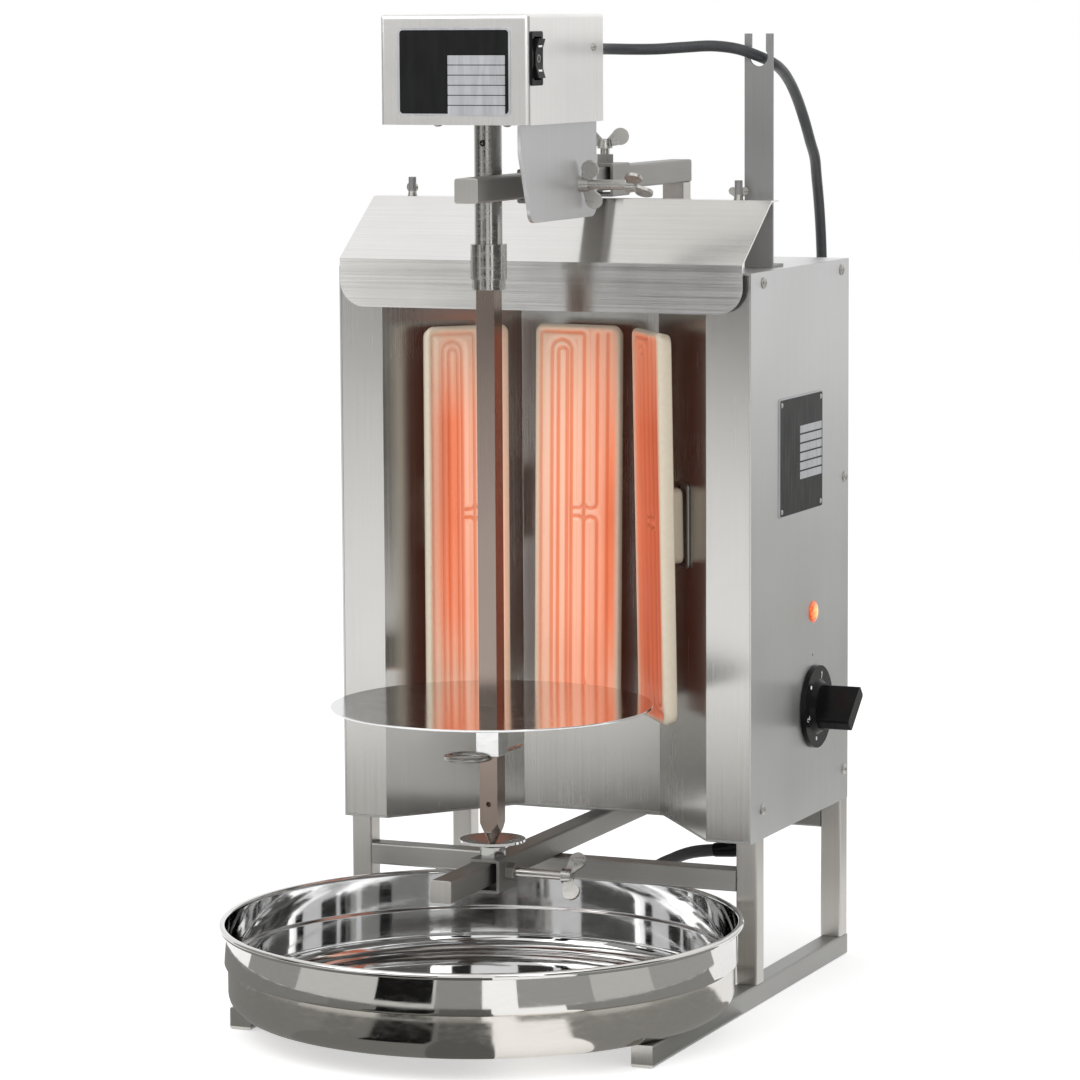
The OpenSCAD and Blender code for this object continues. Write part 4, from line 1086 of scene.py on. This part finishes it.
# Where each heater hangs, and how its face glows in rows from the top down, each from left to right:
# heat against the cream glaze, and ember from pale (0) through orange (0.5) to deep red (1)
heaterPlaces = dict(
    left_heater=dict(
        side=-1, lean=0, slide=-2, roll=0,
        heat=((0.1, 0.3, 0.25, 0.2, 0.15), (0.2, 1, 0.9, 0.45, 0.35), (0.3, 1, 0.95, 0.6, 0.45),
              (0.25, 1, 0.95, 0.65, 0.45), (0.15, 0.45, 0.5, 0.35, 0.25)),
        ember=((0, 0.2, 0.15, 0, 0), (0.5, 0.62, 0.12, 0, 0), (0.55, 0.62, 0.12, 0, 0),
               (0.35, 0.45, 0.2, 0.02, 0), (0.1, 0.2, 0.15, 0.05, 0))),
    middle_heater=dict(
        side=0, lean=0, slide=0, roll=0.6,
        heat=((0.3, 0.55, 0.65, 0.75, 0.4), (0.5, 0.85, 0.92, 0.95, 0.8), (0.55, 0.9, 0.95, 0.95, 1),
              (0.6, 0.92, 0.95, 0.95, 0.95), (0.45, 0.85, 0.95, 0.9, 0.5)),
        ember=((0, 0, 0.08, 0.2, 0.2), (0, 0, 0.05, 0.2, 0.5), (0.05, 0.06, 0.1, 0.22, 0.95),
               (0.12, 0.1, 0.14, 0.3, 0.7), (0.05, 0.2, 0.25, 0.4, 0.3))),
    right_heater=dict(
        side=1, lean=0.9, slide=0, roll=0,
        heat=((0.5, 0.8, 0.85, 0.8, 0.6), (0.8, 1, 1, 1, 0.9), (0.85, 1, 1, 1, 0.95),
              (0.85, 1, 1, 1, 0.95), (0.6, 0.9, 0.9, 0.9, 0.6)),
        ember=((0.45, 0.65, 0.7, 0.7, 0.6), (0.6, 0.82, 0.9, 1, 0.95), (0.6, 0.82, 0.92, 1, 1),
               (0.7, 0.88, 1, 1, 1), (0.65, 0.85, 0.95, 1, 0.9))))


# The side walls' run inwards and back, the middle of one from the housing's middle and front, and how far
# a heater sits along it and off it
wallSizes = dict(run=0.080, back=0.063, middle=(0.0795, 0.040), along=0.003, off=0.0145, rearOff=0.012)


def frameOf(node, place):
    size = wallSizes
    low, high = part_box(node)
    wallTurn = math.atan2(size["back"], size["run"])
    turn = place["side"] * -(math.pi / 2 - wallTurn)
    if place["side"] == 0:
        mid = Vector(((low.x + high.x) / 2, high.y - size["rearOff"], (low.z + high.z) / 2))
    else:
        mid = housing(0, 0, 0)
        a = wallTurn - math.pi / 2
        x, y = size["along"] + place["slide"] / 1000, -size["off"]
        mid.x += place["side"] * (size["middle"][0] + x * math.cos(a) - y * math.sin(a))
        mid.y += size["middle"][1] + x * math.sin(a) + y * math.cos(a)
        mid.z = (low.z + high.z) / 2
    facing = Matrix.Rotation(turn, 4, "Z")
    lean = Matrix.Rotation(math.radians(place["lean"]), 4, "X")
    return Matrix.Translation(mid) @ facing @ lean @ Matrix.Rotation(math.radians(place["roll"]), 4, "Y")


# Value at a share from 0 to 1 along a row of levels
def levelAt(levels, share):
    place = min(0.9999, max(0, share)) * (len(levels) - 1)
    first = int(place)
    return levels[first] + (levels[first + 1] - levels[first]) * (place - first)


def levelOn(rows, across, down):
    return levelAt([levelAt(row, across) for row in rows], down)


def makeHeater(node, place, slab, lines, tree, sockets):
    piece = newPiece(node + "_finished", slab.copy())
    runGroup(piece, tree, sockets, dict(grooveSizes, lines=lines, finish=finish["baked_clay"]))
    mesh = piece.data
    face = [item.value for item in mesh.attributes["face"].data]
    halfX = heaterSizes["width"] / 2000
    halfZ = heaterSizes["length"] / 2000
    heat = []
    ember = []
    for vert, flat in zip(mesh.vertices, face):
        across = (vert.co.x / halfX + 1) / 2
        down = (1 - vert.co.z / halfZ) / 2
        heat.append(flat * levelOn(place["heat"], across, down))
        ember.append(levelOn(place["ember"], across, down))
    for name, values in (("warmth", heat), ("ember", ember)):
        mesh.attributes.new(name, "FLOAT", "POINT")
        mesh.attributes[name].data.foreach_set("value", values)
    # The slab's flat back takes the dark painted shade
    mesh.materials.append(finish["clay_back"])
    for part in mesh.polygons:
        if part.normal.y > 0.9 and abs(part.center.y) < 0.001:
            part.material_index = len(mesh.materials) - 1
    mesh.transform(frameOf(node, place))
    smoothFaces(mesh, 60)
    standFor(piece, node)


# Spring clips on the wall, each a low frame round its heater's lug
clipSizes = dict(margin=3, play=0.5, rise=1.8, wall=14.5, sunk=0.1, corner=3)


def makeClips():
    work = bmesh.new()
    size = clipSizes
    wide = heaterSizes["nubWidth"] / 2
    tall = heaterSizes["nubLength"] / 2
    for node, place in heaterPlaces.items():
        where = frameOf(node, dict(place, lean=0, slide=0, roll=0))
        rings = []
        for margin, corner in ((size["margin"], size["corner"]), (size["play"], heaterSizes["nubCorner"])):
            outline = roundedOutline(-wide - margin, wide + margin, -tall - margin, tall + margin, corner)
            for depth in (size["wall"] - size["rise"], size["wall"] - size["sunk"]):
                rings.append([work.verts.new(where @ Vector((x / 1000, depth / 1000, z / 1000)))
                              for x, z in outline])
        front, back, innerFront, innerBack = rings
        for one, two in ((front, innerFront), (innerFront, innerBack), (innerBack, back), (back, front)):
            sew(work, one, two)
    # The clips take the dark painted-shade steel
    clips = newPiece("heater_clips", meshFrom(work, "heater_clips"), finish["holder_steel"])
    softenEdges(clips, 0.0005)
    smoothFaces(clips.data, 46)
    standFor(clips, "heater_holders")


def makeHeaters():
    slab = slabMesh()
    lines = lineObject()
    tree, sockets = ribTree()
    for node, place in heaterPlaces.items():
        makeHeater(node, place, slab, lines, tree, sockets)
    bpy.data.objects.remove(lines)


makeHeaters()
makeClips()
print("heaters made")


# Stage

def cardMaterial(name, colour):
    return startMaterial(name, Base_Color=(0, 0, 0, 1), Roughness=1, Specular_IOR_Level=0,
                         Emission_Color=(*colour, 1), Emission_Strength=1)[0]


# Rays that should meet the white studio: the camera's own and those off gloss and glass
def seenRays(tree):
    path = tree.nodes.new("ShaderNodeLightPath")
    shiny = maths(tree, "MAXIMUM", path.outputs["Is Glossy Ray"], path.outputs["Is Transmission Ray"])
    return maths(tree, "MAXIMUM", path.outputs["Is Camera Ray"], shiny)


def stagePiece(name, corners, material):
    mesh = bpy.data.meshes.new(name)
    mesh.from_pydata(corners, [], [tuple(range(len(corners)))])
    piece = newPiece(name, mesh, material)
    return piece


def makeStage():
    floor, tree, shader = startMaterial("pale_floor", Base_Color=(0.85, 0.85, 0.85, 1), Roughness=0.8,
                                        Specular_IOR_Level=0, Emission_Color=(1, 1, 1, 1))
    feed(shader, Emission_Strength=maths(tree, "MULTIPLY", seenRays(tree), 0.5))
    stagePiece("floor", ((-8, -8, 0), (8, -8, 0), (8, 8, 0), (-8, 8, 0)), floor)
    world = bpy.data.worlds.new("studio")
    scene.world = world
    world.use_nodes = True
    tree = world.node_tree
    shade = tree.nodes["Background"]
    setInputs(shade, Color=(1, 1, 1, 1))
    tree.links.new(span(tree, seenRays(tree), 0.62, 1.0, 0, 1), shade.inputs["Strength"])


# Cards that only reflections see, in metres, each with its brightness last.
# On the floor round the pan: reach from and to, turn from and to (straight ahead to the right), height
ringCards = dict(
    low_left=(0.06, 0.335, -110, -30, 0.002, 0.25),
    low_front=(0.06, 0.335, -30, 10, 0.002, 0.21),
    low_middle=(0.06, 0.335, 10, 27, 0.002, 0.13),
    low_right=(0.06, 0.335, 52, 120, 0.002, 0.29),
    low_black=(0.2, 0.325, -11.5, 8.5, 0.003, 0.008),
    high_left=(0.335, 0.5, -78, -47, 0.002, 0.36),
    high_front=(0.335, 0.5, -47, 8, 0.002, 0.66),
    high_black=(0.352, 0.465, -13.5, 7, 0.003, 0.008),
    high_middle=(0.335, 0.5, 8, 24, 0.002, 0.34),
    high_soft=(0.335, 0.5, 36, 63, 0.002, 0.4),
    high_right=(0.335, 0.5, 63, 88, 0.002, 0.6),
    high_end=(0.335, 0.5, 88, 125, 0.002, 0.42),
    floor_ring=(0.5, 0.9, -110, 110, 0.002, 0.62))

# Upright: one lower corner, the other, and the heights of both edges
uprightCards = dict(
    back_low=((0.25, 1.6), (3.0, 1.6), 0, 0.14, 0.62),
    back_mid=((0.25, 1.6), (3.0, 1.6), 0.14, 0.24, 0.78),
    lip_black=((-0.57, -1.5), (-0.40, -1.5), 0.27, 0.5, 0.01),
    lip_mid=((-0.76, -1.5), (-0.57, -1.5), 0.27, 0.5, 0.22),
    lip_left=((-0.95, -1.5), (-0.76, -1.5), 0.27, 0.5, 0.5),
    lip_band=((-0.685, -1.49), (-0.65, -1.49), 0.27, 0.5, 0.02),
    lip_high=((-0.545, -1.5), (-0.35, -1.5), 0.5, 0.95, 0.01),
    front_dark=((-0.3, -1.5), (0.15, -1.5), 0.2, 0.7, 0.04),
    front_black=((0.8, -1.5), (1.15, -1.5), 0.1, 0.7, 0.02),
    left_black=((-1.5, -1.0), (-1.5, -0.6), 0.05, 0.7, 0.02),
    bright_line=((1.08, -1.16), (1.17, -1.07), 0.1, 1.1, 3.0),
    right_wall=((1.7, -1.6), (1.7, 0.5), 0, 1.3, 0.12),
    left_wall=((-1.6, -2.0), (-1.6, 0.4), 0, 1.3, 0.35))

# Level: the corners, and the height of them all
levelCards = dict(
    back_floor=(((0.25, 0.45), (1.5, 0.45), (2.5, 1.6), (0.3, 1.6)), 0.001, 0.5),
    ceiling=(((-0.61, -0.3), (-0.3, -0.3), (-0.3, 1.0), (-0.61, 1.0)), 2.0, 0.78))


def ringCorners(inner, outer, start, end, height):
    mid = midOf("drip_pan")
    there = arc(mid.x, mid.y, inner, start - 90, end - 90, 8)
    back = arc(mid.x, mid.y, outer, end - 90, start - 90, 8)
    return levelCorners(there + back, height)


def uprightCorners(one, two, low, high):
    return [(*one, low), (*two, low), (*two, high), (*one, high)]


def levelCorners(corners, height):
    return [(x, y, height) for x, y in corners]


def makeCards(cards, shape):
    for name, (*place, level) in cards.items():
        piece = stagePiece(name, shape(*place), cardMaterial(name, (level, level, level * 0.96)))
        piece.visible_camera = False
        piece.visible_diffuse = False
        piece.visible_shadow = False
        piece.visible_transmission = False


def addLamp(name, place, aim, size, power):
    data = bpy.data.lights.new(name, "AREA")
    data.shape = "RECTANGLE"
    data.size, data.size_y = size
    data.energy = power
    lamp = bpy.data.objects.new(name, data)
    scene.collection.objects.link(lamp)
    lamp.location = place
    lamp.rotation_euler = (Vector(aim) - Vector(place)).to_track_quat("-Z", "Y").to_euler()


makeStage()
makeCards(ringCards, ringCorners)
makeCards(uprightCards, uprightCorners)
makeCards(levelCards, levelCorners)
addLamp("key", (-1.2, -1.8, 2.2), (0, 0, 0.3), (2.6, 2.6), 30)
addLamp("fill", (2.0, -1.5, 1.6), (0, 0, 0.3), (2.0, 2.4), 14)
print("stage set")
